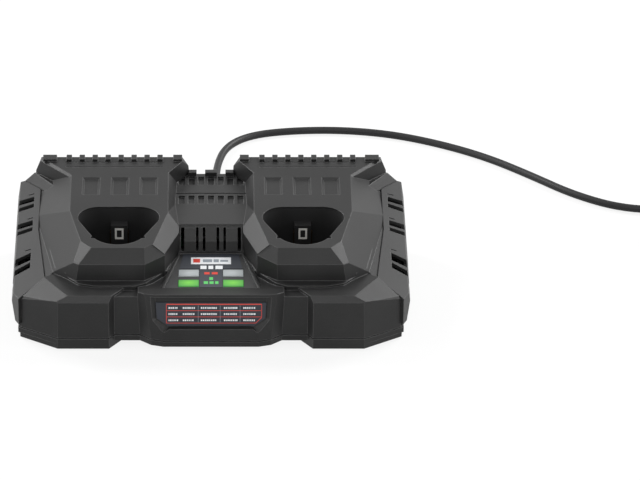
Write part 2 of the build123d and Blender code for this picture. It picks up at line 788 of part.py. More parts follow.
# ---------------------------------------------------------------- upper housing
with BuildPart() as upper_housing:
    for low, high, facets, core, thickness in housing_blocks:
        add(trimmed_block(low, high, facets, core))
    add(trimmed_block(vent_core_low, vent_core_high, vent_core_facets, vent_core, inset=vent_clear))
    add(skirt.part)
    # teeth and solid ends of the ridge
    with BuildSketch(socket_plane):
        with Locations((tooth_centre, plane_length - tooth_length / 2)):
            with GridLocations(tooth_pitch, 1, tooth_count, 1):
                Rectangle(tooth_width, tooth_length)
        for end_low, end_high in ridge_ends:
            with Locations(((end_low + end_high) / 2, plane_length - tooth_length / 2)):
                Rectangle(end_high - end_low, tooth_length)
    extrude(amount=ridge_height)
    # bead beside the indicator panel
    with BuildSketch(level(deck_z - 0.5)):
        with BuildLine():
            Polyline(
                (panel_top_half + 1.0, panel_top_y),
                (panel_top_half + 1.0 + panel_bead[0], panel_top_y),
                (panel_bottom_half + 1.0 + panel_bead[0], panel_bottom_y),
                (panel_bottom_half + 1.0, panel_bottom_y),
                close=True,
            )
        make_face()
    extrude(amount=0.5 + panel_bead[1])
    # teeth on the bridge's rear edge
    with Locations((10.2, back_y - bridge_tooth_length / 2, bridge_z + bridge_tooth_height / 2 - 0.5)):
        Box(4.4, bridge_tooth_length, bridge_tooth_height + 1.0)
    add(vent_room.part, mode=Mode.SUBTRACT)
    mirror(about=Plane.YZ)
    with Locations((0, back_y - bridge_tooth_length / 2, bridge_z + bridge_tooth_height / 2 - 0.5)):
        Box(6.6, bridge_tooth_length, bridge_tooth_height + 1.0)
    add(half_hollow.part, mode=Mode.SUBTRACT)
    add(mirrored(half_hollow.part), mode=Mode.SUBTRACT)
    # screw posts, joined to the roof above them
    for x, y in post_places:
        with BuildSketch(level(parting_z)):
            with Locations((x, y), (-x, y)):
                Circle(post_radius)
        extrude(amount=post_roof(x, y) - parting_z)
    add(half_cuts.part, mode=Mode.SUBTRACT)
    # seat of the indicator panel and the light ports below the windows
    with BuildSketch(level(deck_z + 3.0)):
        add(panel_outline(panel_play))
    extrude(amount=-3.0 - panel_seat, mode=Mode.SUBTRACT)
    with BuildSketch(level(deck_z)):
        for y in window_rows:
            with Locations((window_x, y), (-window_x, y)):
                Rectangle(window_size[0] - 2.0, window_size[1] - 2.0)
    extrude(amount=-6.0, mode=Mode.SUBTRACT)
    # label pocket
    with BuildSketch(front_plane.offset(0.01)):
        add(label_mouth())
    with BuildSketch(front_plane.offset(-label_depth)):
        add(label_floor())
    loft(mode=Mode.SUBTRACT)
    # rows of small pockets and a line across the bridge
    with BuildSketch(level(bridge_z)):
        for y, length in ((front_y + 116.2, 10.3), (front_y + 92.6, 10.3)):
            with Locations((0, y)):
                with GridLocations(small_pocket_pitch, 1, 7, 1):
                    Rectangle(small_pocket_width, length)
        with Locations((0, back_y - 24.5)):
            Rectangle(38.6, 1.2)
        for side in (-1, 1):
            with Locations((side * 16.7, back_y - 1.5)):
                Rectangle(3.2, 3.0)
    extrude(amount=-small_pocket_depth, mode=Mode.SUBTRACT)
    # opening and rebate for the grille
    with Locations((0, grille_knee_y - 4.0, (grille_low_z + grille_high_z) / 2)):
        Box(2 * (grille_half_width - grille_ledge), 32.0,
            grille_high_z - grille_low_z - 2 * grille_ledge, mode=Mode.SUBTRACT)
    add(grille_rebate.part, mode=Mode.SUBTRACT)
    # hole for the strain relief
    with BuildSketch(Plane.XZ.offset(-back_y - 1.0)):
        with Locations((cord_x, cord_z)):
            Circle(gland_neck_radius + 0.1)
    extrude(amount=wall + 4.0, mode=Mode.SUBTRACT)
upper_housing.part.label = "upper_housing"
export_step(upper_housing.part, "parts/upper_housing.step")

# ---------------------------------------------------------------- vent panels
with BuildPart() as right_vent_panel:
    add(trimmed_block(vent_low, vent_high, vent_facets, vent_core))
    add(trimmed_block(vent_low, vent_high, vent_facets, vent_core, inset=vent_wall, drop=10.0),
        mode=Mode.SUBTRACT)
    add(trimmed_block(beside_low, beside_high, [vent_bend], side_core), mode=Mode.SUBTRACT)
    add(trimmed_block(behind_low, behind_high, [vent_rear], shoulder_core), mode=Mode.SUBTRACT)
    # slots, open towards the side
    for y, width, slant, leg in vent_slots:
        edge_z = side_z(vent_edge_x, y)
        with BuildSketch(level(edge_z - leg)):
            with BuildLine():
                Polyline(
                    (vent_slot_inner_x, y - width / 2),
                    (vent_slot_inner_x, y + width / 2),
                    (half_width + 1.0, y + width / 2 - slant),
                    (half_width + 1.0, y - width / 2 - slant),
                    close=True,
                )
            make_face()
        extrude(amount=leg + 8.0, mode=Mode.SUBTRACT)
    for y in vent_short_slots:
        with Locations((vent_slot_inner_x + 1.6, y, deck_z + 6.0)):
            Box(3.2, 0.9, 20.0, mode=Mode.SUBTRACT)
right_vent_panel.part.label = "right_vent_panel"
export_step(right_vent_panel.part, "parts/right_vent_panel.step")

with BuildPart() as left_vent_panel:
    add(mirrored(right_vent_panel.part))
left_vent_panel.part.label = "left_vent_panel"
export_step(left_vent_panel.part, "parts/left_vent_panel.step")

# ---------------------------------------------------------------- socket liners
with BuildPart() as right_socket_liner:
    with BuildSketch(socket_plane.offset(-socket_depth - liner_floor)):
        with Locations((0, socket_y)):
            add(socket_outline(liner_wall))
    extrude(amount=socket_depth + liner_floor - socket_lip)
    with BuildSketch(socket_plane.offset(-socket_depth)):
        with Locations((0, socket_y)):
            add(socket_outline(0.0))
    extrude(amount=socket_depth + 5.0, mode=Mode.SUBTRACT)
    # notches for the battery's latches
    with BuildSketch(socket_plane.offset(2.0)):
        for side in (-1, 1):
            with Locations((side * latch_notch[0], socket_y + latch_notch[1])):
                Rectangle(latch_width + 2 * latch_gap, latch_width + 2 * latch_gap)
    extrude(amount=-6.0, mode=Mode.SUBTRACT)
    # slots for the contacts' tails
    with BuildSketch(socket_plane.offset(-socket_depth - liner_floor - 1.0)):
        with Locations((0, socket_back - 4.15)):
            Rectangle(contact_tail + 2 * tail_gap, contact_sheet + 2 * tail_gap)
        for side in (-1, 1):
            with Locations((side * (post_half + contact_sheet / 2), socket_back - 2.5)):
                Rectangle(contact_sheet + 2 * tail_gap, blade_width + 2 * tail_gap)
    extrude(amount=liner_floor + 2.0, mode=Mode.SUBTRACT)
right_socket_liner.part.label = "right_socket_liner"
export_step(right_socket_liner.part, "parts/right_socket_liner.step")

with BuildPart() as left_socket_liner:
    add(mirrored(right_socket_liner.part))
left_socket_liner.part.label = "left_socket_liner"
export_step(left_socket_liner.part, "parts/left_socket_liner.step")

# ---------------------------------------------------------------- contact posts
post_face_y = socket_back - post_depth
frame_middle = -(frame_top + frame_height / 2)
with BuildPart() as right_contact_post:
    with BuildSketch(socket_plane.offset(-socket_depth)):
        with Locations((0, socket_back - post_depth / 2)):
            Rectangle(2 * post_half, post_depth)
    extrude(amount=socket_depth - post_top)
    # seat of the contact's frame, with a plain boss left standing in it
    with BuildSketch(socket_plane.offset(-frame_top - frame_height - 0.1)):
        with Locations((0, post_face_y)):
            Rectangle(frame_width + 0.2, 1.0)
    extrude(amount=frame_height + 0.2, mode=Mode.SUBTRACT)
    with BuildSketch(socket_plane.offset(frame_middle - frame_height / 2 + frame_bar + 0.1)):
        with Locations((0, post_face_y + 0.25)):
            Rectangle(frame_width - 2 * frame_bar - 0.2, 0.7)
    extrude(amount=frame_height - 2 * frame_bar - 0.2)
    # channel for the contact's tail
    with BuildSketch(socket_plane.offset(-socket_depth)):
        with Locations((0, socket_back - 4.15)):
            Rectangle(contact_tail + 2 * tail_gap, contact_sheet + 2 * tail_gap)
    extrude(amount=socket_depth - frame_top - frame_height + frame_bar, mode=Mode.SUBTRACT)
right_contact_post.part.label = "right_contact_post"
export_step(right_contact_post.part, "parts/right_contact_post.step")

with BuildPart() as left_contact_post:
    add(mirrored(right_contact_post.part))
left_contact_post.part.label = "left_contact_post"
export_step(left_contact_post.part, "parts/left_contact_post.step")

# ---------------------------------------------------------------- front contacts
with BuildPart() as right_front_contact:
    with BuildSketch(socket_plane.offset(frame_middle - frame_height / 2)):
        with Locations((0, post_face_y + 0.1)):
            Rectangle(frame_width, 0.8)
    extrude(amount=frame_height)
    with BuildSketch(socket_plane.offset(frame_middle - frame_height / 2 + frame_bar)):
        with Locations((0, post_face_y)):
            Rectangle(frame_width - 2 * frame_bar, 2.0)
    extrude(amount=frame_height - 2 * frame_bar, mode=Mode.SUBTRACT)
    with BuildSketch(socket_plane.offset(-socket_depth - liner_floor - tail_end)):
        with Locations((0, socket_back - 4.15)):
            Rectangle(contact_tail, contact_sheet)
    extrude(amount=socket_depth + liner_floor + tail_end - frame_top - frame_height + frame_bar - 0.1)
right_front_contact.part.label = "right_front_contact"
export_step(right_front_contact.part, "parts/right_front_contact.step")

with BuildPart() as left_front_contact:
    add(mirrored(right_front_contact.part))
left_front_contact.part.label = "left_front_contact"
export_step(left_front_contact.part, "parts/left_front_contact.step")

# ---------------------------------------------------------------- side contacts
with BuildPart() as right_side_contacts:
    with BuildSketch(socket_plane.offset(-socket_depth - liner_floor - tail_end)):
        for side in (-1, 1):
            with Locations((side * (post_half + contact_sheet / 2), socket_back - 2.5)):
                Rectangle(contact_sheet, blade_width)
    extrude(amount=socket_depth + liner_floor + tail_end - blade_top)
right_side_contacts.part.label = "right_side_contacts"
export_step(right_side_contacts.part, "parts/right_side_contacts.step")

with BuildPart() as left_side_contacts:
    add(mirrored(right_side_contacts.part))
left_side_contacts.part.label = "left_side_contacts"
export_step(left_side_contacts.part, "parts/left_side_contacts.step")

# ---------------------------------------------------------------- grille
with BuildPart() as grille:
    add(trimmed_block(grille_low, grille_high, bridge_facets, bridge_core))
    add(trimmed_block(
        (-grille_rib_x, grille_low[1], grille_low_z + grille_ledge),
        (grille_rib_x, grille_high[1], grille_high_z - grille_ledge - grille_rib_height),
        bridge_facets,
        bridge_core,
        inset=-grille_rib_height,
    ))
    add(grille_backing, mode=Mode.SUBTRACT)
    for x, width in grille_slots:
        with Locations((x, grille_knee_y, (grille_low_z + grille_high_z) / 2)):
            Box(width, 30.0, grille_high_z - grille_low_z - 2 * grille_ledge, mode=Mode.SUBTRACT)
        with Locations((-x, grille_knee_y, (grille_low_z + grille_high_z) / 2)):
            Box(width, 30.0, grille_high_z - grille_low_z - 2 * grille_ledge, mode=Mode.SUBTRACT)
grille.part.label = "grille"
export_step(grille.part, "parts/grille.step")

# ---------------------------------------------------------------- indicator panel
with BuildPart() as indicator_panel:
    with BuildSketch(level(deck_z - panel_seat)):
        add(panel_outline(0.0))
    extrude(amount=panel_thickness)
    with BuildSketch(level(deck_z - panel_seat)):
        for y in window_rows:
            with Locations((window_x, y), (-window_x, y)):
                Rectangle(window_size[0], window_size[1])
    extrude(amount=panel_thickness, mode=Mode.SUBTRACT)
indicator_panel.part.label = "indicator_panel"
export_step(indicator_panel.part, "parts/indicator_panel.step")

# ---------------------------------------------------------------- windows
with BuildPart() as clear_windows:
    with BuildSketch(level(deck_z - panel_seat)):
        with Locations((window_x, window_rows[1]), (-window_x, window_rows[1])):
            Rectangle(window_size[0] - 2 * window_play, window_size[1] - 2 * window_play)
    extrude(amount=window_lens)
    chamfer(clear_windows.edges().group_by(Axis.Z)[-1], 0.3)
clear_windows.part.label = "clear_windows"
export_step(clear_windows.part, "parts/clear_windows.step")

with BuildPart() as green_windows:
    with BuildSketch(level(deck_z - panel_seat)):
        with Locations((window_x, window_rows[0]), (-window_x, window_rows[0])):
            Rectangle(window_size[0] - 2 * window_play, window_size[1] - 2 * window_play)
    extrude(amount=window_lens)
    chamfer(green_windows.edges().group_by(Axis.Z)[-1], 0.3)
green_windows.part.label = "green_windows"
export_step(green_windows.part, "parts/green_windows.step")

# ---------------------------------------------------------------- stickers
panel_face_z = deck_z - panel_seat + panel_thickness
with BuildPart() as panel_sticker:
    with BuildSketch(level(panel_face_z)):
        with BuildLine():
            Polyline(
                (-panel_top_half + 0.7, panel_top_y - 0.6),
                (panel_top_half - 0.7, panel_top_y - 0.6),
                (panel_top_half + 1.4, window_rows[1] + window_size[1] / 2 + 1.4),
                (sticker_tab / 2, window_rows[1] + window_size[1] / 2 + 1.4),
                (sticker_tab / 2, panel_bottom_y + 0.7),
                (-sticker_tab / 2, panel_bottom_y + 0.7),
                (-sticker_tab / 2, window_rows[1] + window_size[1] / 2 + 1.4),
                (-panel_top_half - 1.4, window_rows[1] + window_size[1] / 2 + 1.4),
                close=True,
            )
        make_face()
    extrude(amount=sticker_thickness)
panel_sticker.part.label = "panel_sticker"
export_step(panel_sticker.part, "parts/panel_sticker.step")

with BuildPart() as front_label:
    with BuildSketch(front_plane.offset(-label_depth)):
        add(label_outline(-0.3, label_sheet_top))
    extrude(amount=label_sheet)
front_label.part.label = "front_label"
export_step(front_label.part, "parts/front_label.step")

# ---------------------------------------------------------------- lower housing
with BuildPart() as lower_housing:
    with BuildSketch(level(underside_z)):
        add(base_outline())
    extrude(amount=parting_z - underside_z)
    # front and rear feet
    for side in (-1, 1):
        with BuildSketch(level(foot_pad_height)):
            with BuildLine():
                Polyline(
                    (side * foot_inner_x, foot_front_y),
                    (side * foot_corner_x, foot_front_y),
                    (side * (side_x - 1.0), chamfer_end[1]),
                    (side * (side_x - 1.0), foot_front_y + 31.0),
                    (side * (foot_inner_x - 9.0), foot_front_y + 31.0),
                    (side * (foot_inner_x - 9.0), foot_front_y + 13.5),
                    close=True,
                )
            make_face()
            with Locations((side * (foot_inner_x - 3.0 + side_x - 1.0) / 2, back_y - 14.0)):
                Rectangle(side_x - foot_inner_x + 2.0, 28.0)
        extrude(amount=underside_z - foot_pad_height)
    # inside
    with BuildSketch(level(underside_z + tray_floor)):
        add(base_outline())
        offset(amount=-tray_rim, kind=Kind.INTERSECTION, mode=Mode.REPLACE)
    extrude(amount=parting_z, mode=Mode.SUBTRACT)
    # shadow groove along the parting line
    with BuildSketch(level(parting_z - groove_height)):
        add(base_outline())
        add(offset(base_outline(), amount=-groove_depth, kind=Kind.INTERSECTION, mode=Mode.PRIVATE),
            mode=Mode.SUBTRACT)
    extrude(amount=groove_height, mode=Mode.SUBTRACT)
    # tongues that locate the upper housing
    for x, y, length_x, length_y in tongues:
        for side in (-1, 1):
            with Locations((side * x, y, parting_z)):
                Box(length_x, length_y, 2 * tongue_height)
    # bosses for the housing screws
    for x, y in post_places:
        with BuildSketch(level(underside_z)):
            with Locations((x, y), (-x, y)):
                Circle(screw_boss_radius)
        extrude(amount=parting_z - underside_z)
    # standoffs of the main board, the indicator board and the cord clamp
    with BuildSketch(level(underside_z)):
        with Locations(*board_screw_places):
            Circle(standoff_radius)
    extrude(amount=board_z - underside_z)
    with BuildSketch(level(underside_z)):
        with Locations((indicator_post_x, indicator_post_y), (-indicator_post_x, indicator_post_y)):
            Circle(2.6)
    extrude(amount=indicator_board_z - underside_z)
    with BuildSketch(level(underside_z)):
        with Locations((cord_x - clamp_screw_x, clamp_y), (cord_x + clamp_screw_x, clamp_y)):
            Circle(3.0)
    extrude(amount=cord_z - underside_z)
    with Locations((cord_x, clamp_y, (cord_z - cord_diameter / 2 + underside_z) / 2)):
        Box(2 * clamp_screw_x, 5.0, cord_z - cord_diameter / 2 - underside_z)
    # cradle of the fan: a sill below it and a channel at each side
    with Locations((0, fan_y + fan_depth / 2, (fan_bottom_z + underside_z) / 2)):
        Box(fan_size + 4.4, fan_depth + 4.0, fan_bottom_z - underside_z)
    for side in (-1, 1):
        cheek_place = (side * (fan_size / 2 + 0.1), fan_y + fan_depth / 2, (cradle_top_z + underside_z) / 2)
        with Locations(cheek_place):
            Box(4.2, fan_depth + 4.0, cradle_top_z - underside_z)
    with Locations((0, fan_y + fan_depth / 2, fan_bottom_z + fan_size / 2)):
        Box(fan_size + 0.2, fan_depth + 0.2, fan_size, mode=Mode.SUBTRACT)
    with Locations((0, fan_y + fan_depth / 2, fan_bottom_z + fan_size / 2)):
        Box(fan_size - 4.0, fan_depth + 8.0, fan_size, mode=Mode.SUBTRACT)
    # screw holes from below
    for x, y in post_places:
        with BuildSketch(level(underside_z)):
            with Locations((x, y), (-x, y)):
                Circle(screw_head_radius + 0.3)
        extrude(amount=screw_head_height + 0.2, mode=Mode.SUBTRACT)
        with BuildSketch(level(underside_z)):
            with Locations((x, y), (-x, y)):
                Circle(screw_radius + 0.15)
        extrude(amount=parting_z, mode=Mode.SUBTRACT)
    # pilot holes in the standoffs and clamp posts
    with BuildSketch(level(board_z)):
        with Locations(*board_screw_places):
            Circle(small_screw_radius + 0.05)
    extrude(amount=-small_screw_length + board_thickness - 0.4, mode=Mode.SUBTRACT)
    with BuildSketch(level(cord_z)):
        with Locations((cord_x - clamp_screw_x, clamp_y), (cord_x + clamp_screw_x, clamp_y)):
            Circle(small_screw_radius + 0.05)
    extrude(amount=-small_screw_length, mode=Mode.SUBTRACT)
    # seats of the rubber feet
    with BuildSketch(level(foot_pad_height)):
        with Locations(*foot_places):
            Circle(foot_pad_radius + 0.1)
    extrude(amount=foot_pad_seat, mode=Mode.SUBTRACT)
lower_housing.part.label = "lower_housing"
export_step(lower_housing.part, "parts/lower_housing.step")

# ---------------------------------------------------------------- rubber feet
with BuildPart() as rubber_feet:
    with BuildSketch(level(0.0)):
        with Locations(*foot_places):
            Circle(foot_pad_radius)
    extrude(amount=foot_pad_height + foot_pad_seat)
    chamfer(rubber_feet.edges().group_by(Axis.Z)[0], 0.4)
rubber_feet.part.label = "rubber_feet"
export_step(rubber_feet.part, "parts/rubber_feet.step")

# ---------------------------------------------------------------- housing screws
head_top_z = underside_z + screw_head_height + 0.2
with BuildPart() as housing_screws:
    for x, y in post_places:
        with BuildSketch(level(head_top_z - screw_head_height)):
            with Locations((x, y), (-x, y)):
                Circle(screw_head_radius)
        extrude(amount=screw_head_height)
        with BuildSketch(level(head_top_z)):
            with Locations((x, y), (-x, y)):
                Circle(screw_radius)
        extrude(amount=screw_length)
        with BuildSketch(level(head_top_z - screw_head_height)):
            with Locations((x, y), (-x, y)):
                Rectangle(3.0, 0.7)
                Rectangle(0.7, 3.0)
        extrude(amount=1.0, mode=Mode.SUBTRACT)
housing_screws.part.label = "housing_screws"
export_step(housing_screws.part, "parts/housing_screws.step")

# ---------------------------------------------------------------- main board
with BuildPart() as main_board:
    with BuildSketch(level(board_z)):
        with Locations((0, (board_front_y + board_back_y) / 2)):
            Rectangle(2 * board_half_width, board_back_y - board_front_y)
        with Locations((cord_x, board_back_y)):
            Rectangle(2 * (clamp_screw_x + 4.0), 2 * (board_back_y - clamp_y + 4.0), mode=Mode.SUBTRACT)
        with Locations(*board_screw_places):
            Circle(small_screw_radius + 0.2, mode=Mode.SUBTRACT)
    extrude(amount=board_thickness)
main_board.part.label = "main_board"
export_step(main_board.part, "parts/main_board.step")

with BuildPart() as board_screws:
    with BuildSketch(level(board_top_z)):
        with Locations(*board_screw_places):
            Circle(small_head_radius)
    extrude(amount=small_head_height)
    with BuildSketch(level(board_top_z)):
        with Locations(*board_screw_places):
            Circle(small_screw_radius)
    extrude(amount=-small_screw_length)
    with BuildSketch(level(board_top_z + small_head_height)):
        with Locations(*board_screw_places):
            Rectangle(2.6, 0.6)
            Rectangle(0.6, 2.6)
    extrude(amount=-0.8, mode=Mode.SUBTRACT)
board_screws.part.label = "board_screws"
export_step(board_screws.part, "parts/board_screws.step")

# ---------------------------------------------------------------- mains terminal
terminal_x = -16.0
terminal_y = 37.0
terminal_pitch = 5.0
with BuildPart() as mains_terminal:
    with Locations((terminal_x, terminal_y, board_top_z + 5.0)):
        Box(12.0, 10.0, 10.0)
    with Locations((terminal_x, terminal_y + 1.0, board_top_z + 9.0)):
        Box(12.0, 8.0, 4.0, mode=Mode.SUBTRACT)
    with BuildSketch(Plane.XZ.offset(-terminal_y - 5.0)):
        with Locations((terminal_x, board_top_z + 3.5)):
            with GridLocations(terminal_pitch, 1, 2, 1):
                Circle(1.9)
    extrude(amount=4.0, mode=Mode.SUBTRACT)
mains_terminal.part.label = "mains_terminal"
export_step(mains_terminal.part, "parts/mains_terminal.step")

# ---------------------------------------------------------------- fuse in its two clips
fuse_x = -44.0
fuse_y = board_back_y - 5.5
fuse_z = board_top_z + 5.0
fuse_radius = 2.6
fuse_length = 20.0
with BuildPart() as fuse:
    with BuildSketch(Plane.YZ.offset(fuse_x - fuse_length / 2)):
        with Locations((fuse_y, fuse_z)):
            Circle(fuse_radius - 0.2)
    extrude(amount=fuse_length)
    for end in (-1, 1):
        with BuildSketch(Plane.YZ.offset(fuse_x + end * (fuse_length / 2 - 2.5) - 2.5)):
            with Locations((fuse_y, fuse_z)):
                Circle(fuse_radius)
        extrude(amount=5.0)
fuse.part.label = "fuse"
export_step(fuse.part, "parts/fuse.step")

with BuildPart() as fuse_clips:
    for end in (-1, 1):
        clip_x = fuse_x + end * (fuse_length / 2 - 2.5)
        with BuildSketch(Plane.YZ.offset(clip_x - 1.5)):
            with Locations((fuse_y, fuse_z)):
                Circle(fuse_radius + 0.6)
            with Locations((fuse_y, (fuse_z + board_top_z) / 2)):
                Rectangle(4.0, fuse_z - board_top_z)
            with Locations((fuse_y, fuse_z)):
                Circle(fuse_radius, mode=Mode.SUBTRACT)
            with Locations((fuse_y, fuse_z + fuse_radius + 1.0)):
                Rectangle(3.6, 3.0, mode=Mode.SUBTRACT)
        extrude(amount=3.0)
fuse_clips.part.label = "fuse_clips"
export_step(fuse_clips.part, "parts/fuse_clips.step")

# ---------------------------------------------------------------- mains choke
choke_x = -62.0
choke_y = 36.0
with BuildPart() as choke_core:
    with Locations((choke_x, choke_y, board_top_z + 9.0)):
        Box(6.0, 20.0, 18.0)
        Box(7.0, 11.0, 9.0, mode=Mode.SUBTRACT)
choke_core.part.label = "choke_core"
export_step(choke_core.part, "parts/choke_core.step")

with BuildPart() as choke_winding:
    for end in (-1, 1):
        with BuildSketch(level(board_top_z + 4.6)):
            with Locations((choke_x, choke_y + end * 7.75)):
                RectangleRounded(10.4, 8.9, 2.0)
                Rectangle(6.0, 4.5, mode=Mode.SUBTRACT)
        extrude(amount=8.8)
choke_winding.part.label = "choke_winding"
export_step(choke_winding.part, "parts/choke_winding.step")

# ---------------------------------------------------------------- bulk capacitor
bulk_x = -36.0
bulk_y = 35.0
bulk_radius = 9.0
bulk_height = 30.0
with BuildPart() as bulk_capacitor:
    with BuildSketch(level(board_top_z)):
        with Locations((bulk_x, bulk_y)):
            Circle(bulk_radius)
    extrude(amount=bulk_height)
    fillet(bulk_capacitor.edges().filter_by(GeomType.CIRCLE), 0.8)
    with BuildSketch(level(board_top_z + bulk_height)):
        with Locations((bulk_x, bulk_y)):
            Rectangle(11.0, 0.6)
            Rectangle(0.6, 11.0)
    extrude(amount=-0.3, mode=Mode.SUBTRACT)
bulk_capacitor.part.label = "bulk_capacitor"
export_step(bulk_capacitor.part, "parts/bulk_capacitor.step")

# ---------------------------------------------------------------- heat sinks with their transistors
sink_y = board_front_y + 5.5
sink_height = 22.0
with BuildPart() as primary_heat_sink:
    with BuildSketch(level(board_top_z)):
        with Locations((-46.0, sink_y)):
            Rectangle(38.0, 2.0)
        with Locations((-46.0, sink_y - 2.4)):
            with GridLocations(5.0, 1, 8, 1):
                Rectangle(1.2, 3.2)
    extrude(amount=sink_height)
primary_heat_sink.part.label = "primary_heat_sink"
export_step(primary_heat_sink.part, "parts/primary_heat_sink.step")

with BuildPart() as power_transistor:
    with Locations((-50.0, sink_y + 3.25, board_top_z + 11.0)):
        Box(10.0, 4.5, 9.0)
    with Locations((-50.0, sink_y + 1.6, board_top_z + 18.0)):
        Box(10.0, 1.2, 5.0)
    for step in (-1, 0, 1):
        with Locations((-50.0 + step * 2.54, sink_y + 3.2, board_top_z + 3.5)):
            Box(0.8, 0.6, 7.0)
power_transistor.part.label = "power_transistor"
export_step(power_transistor.part, "parts/power_transistor.step")

with BuildPart() as secondary_heat_sink:
    with BuildSketch(level(board_top_z)):
        with Locations((66.0, 35.5)):
            Rectangle(2.0, 25.0)
        with Locations((68.2, 35.5)):
            with GridLocations(1, 4.6, 1, 6):
                Rectangle(3.0, 1.2)
    extrude(amount=sink_height)
secondary_heat_sink.part.label = "secondary_heat_sink"
export_step(secondary_heat_sink.part, "parts/secondary_heat_sink.step")

with BuildPart() as output_rectifier:
    with Locations((62.75, 34.0, board_top_z + 11.0)):
        Box(4.5, 10.0, 9.0)
    with Locations((64.4, 34.0, board_top_z + 18.0)):
        Box(1.2, 10.0, 5.0)
    for step in (-1, 0, 1):
        with Locations((62.8, 34.0 + step * 2.54, board_top_z + 3.5)):
            Box(0.6, 0.8, 7.0)
output_rectifier.part.label = "output_rectifier"
export_step(output_rectifier.part, "parts/output_rectifier.step")

# ---------------------------------------------------------------- transformer
transformer_x = 30.0
transformer_y = 33.0
core_size = (32.0, 12.0, 26.0)
winding_size = (20.0, 26.0, 15.0)
with BuildPart() as transformer_core:
    with Locations((transformer_x, transformer_y, board_top_z + core_size[2] / 2)):
        Box(*core_size)
        with Locations((-9.5, 0, 0), (9.5, 0, 0)):
            Box(7.0, core_size[1] + 1.0, core_size[2] - 10.0, mode=Mode.SUBTRACT)
transformer_core.part.label = "transformer_core"
export_step(transformer_core.part, "parts/transformer_core.step")

with BuildPart() as transformer_winding:
    with BuildSketch(level(board_top_z + core_size[2] / 2 - winding_size[2] / 2)):
        with Locations((transformer_x, transformer_y)):
            RectangleRounded(25.4, winding_size[1], 5.0)
            Rectangle(12.2, core_size[1] + 0.2, mode=Mode.SUBTRACT)
    extrude(amount=winding_size[2])
transformer_winding.part.label = "transformer_winding"
export_step(transformer_winding.part, "parts/transformer_winding.step")

# ---------------------------------------------------------------- output capacitors
with BuildPart() as output_capacitors:
    with BuildSketch(level(board_top_z)):
        with Locations((53.5, 24.0), (53.5, 35.5), (53.5, 47.0)):
            Circle(5.0)
    extrude(amount=20.0)
    fillet(output_capacitors.edges().filter_by(GeomType.CIRCLE), 0.6)
output_capacitors.part.label = "output_capacitors"
export_step(output_capacitors.part, "parts/output_capacitors.step")

# ---------------------------------------------------------------- indicator board and lamps
with BuildPart() as indicator_board:
    with BuildSketch(level(indicator_board_z)):
        with Locations((0, (window_rows[0] + window_rows[1]) / 2 + 2.0)):
            Rectangle(46.0, 24.0)
    extrude(amount=board_thickness)
indicator_board.part.label = "indicator_board"
export_step(indicator_board.part, "parts/indicator_board.step")

with BuildPart() as indicator_lamps:
    with BuildSketch(level(indicator_board_z + board_thickness)):
        for y in window_rows:
            with Locations((window_x, y), (-window_x, y)):
                Rectangle(5.0, 4.0)
    extrude(amount=1.6)
    with BuildSketch(level(indicator_board_z + board_thickness + 1.6)):
        for y in window_rows:
            with Locations((window_x, y), (-window_x, y)):
                Circle(1.8)
    extrude(amount=1.4)
    fillet(indicator_lamps.edges().group_by(Axis.Z)[-1], 1.0)
indicator_lamps.part.label = "indicator_lamps"
export_step(indicator_lamps.part, "parts/indicator_lamps.step")

# ---------------------------------------------------------------- leads from the contacts to the main board
lead_radius = 0.7
lead_z = board_z - lead_radius - 0.3
tail_clear = 0.06           # the tails are tilted with the socket
tail_low = socket_plane.from_local_coords((0, socket_back - 4.15, -socket_depth - liner_floor - tail_end))
blade_low = socket_plane.from_local_coords((0, socket_back - 2.5, -socket_depth - liner_floor - tail_end))
with BuildPart() as right_contact_leads:
    for x, start in (
        (tower_x, tail_low),
        (tower_x - post_half - contact_sheet / 2, blade_low),
        (tower_x + post_half + contact_sheet / 2, blade_low),
    ):
        with BuildSketch(level(start.Z - tail_clear)):
            with Locations((x, start.Y)):
                Circle(lead_radius)
        extrude(amount=lead_z - start.Z + tail_clear)
        with Locations((x, start.Y, lead_z)):
            Sphere(lead_radius)
        with BuildSketch(Plane.XZ.offset(-start.Y)):
            with Locations((x, lead_z)):
                Circle(lead_radius)
        extrude(amount=start.Y - board_front_y - 2.5)
right_contact_leads.part.label = "right_contact_leads"
export_step(right_contact_leads.part, "parts/right_contact_leads.step")

with BuildPart() as left_contact_leads:
    add(mirrored(right_contact_leads.part))
left_contact_leads.part.label = "left_contact_leads"
export_step(left_contact_leads.part, "parts/left_contact_leads.step")

# ---------------------------------------------------------------- fan, its axis along Y
fan_z = fan_bottom_z + fan_size / 2
fan_plane = Plane(origin=(0, fan_y, fan_z), x_dir=(1, 0, 0), z_dir=(0, 1, 0))
hub_radius = 6.5
hub_face = 8.0              # hub and struts fill the rear of the frame from here
bearing_outer = 2.0
shaft_radius = 1.0
shaft_gap = 0.05
stator_radius = 5.0
magnet_inner = 5.3
cup_inner = 5.95
cup_outer = 7.0
cup_front = 0.8
cup_wall = 1.0
blade_tip = 13.5
blade_count = 7
blade_pitch = 50.0
with BuildPart() as fan_frame:
    with BuildSketch(fan_plane):
        RectangleRounded(fan_size, fan_size, 2.0)
        Circle(fan_bore, mode=Mode.SUBTRACT)
    extrude(amount=fan_depth)
    with BuildSketch(fan_plane.offset(hub_face)):
        Circle(hub_radius)
        with PolarLocations((hub_radius + fan_bore) / 2, 3, start_angle=90):
            Rectangle(fan_bore - hub_radius + 1.2, 2.4)
        Circle(bearing_outer, mode=Mode.SUBTRACT)
    extrude(amount=fan_depth - hub_face)
    with BuildSketch(fan_plane):
        with GridLocations(24.0, 24.0, 2, 2):
            Circle(1.6)
    extrude(amount=fan_depth, mode=Mode.SUBTRACT)
fan_frame.part.label = "fan_frame"
export_step(fan_frame.part, "parts/fan_frame.step")

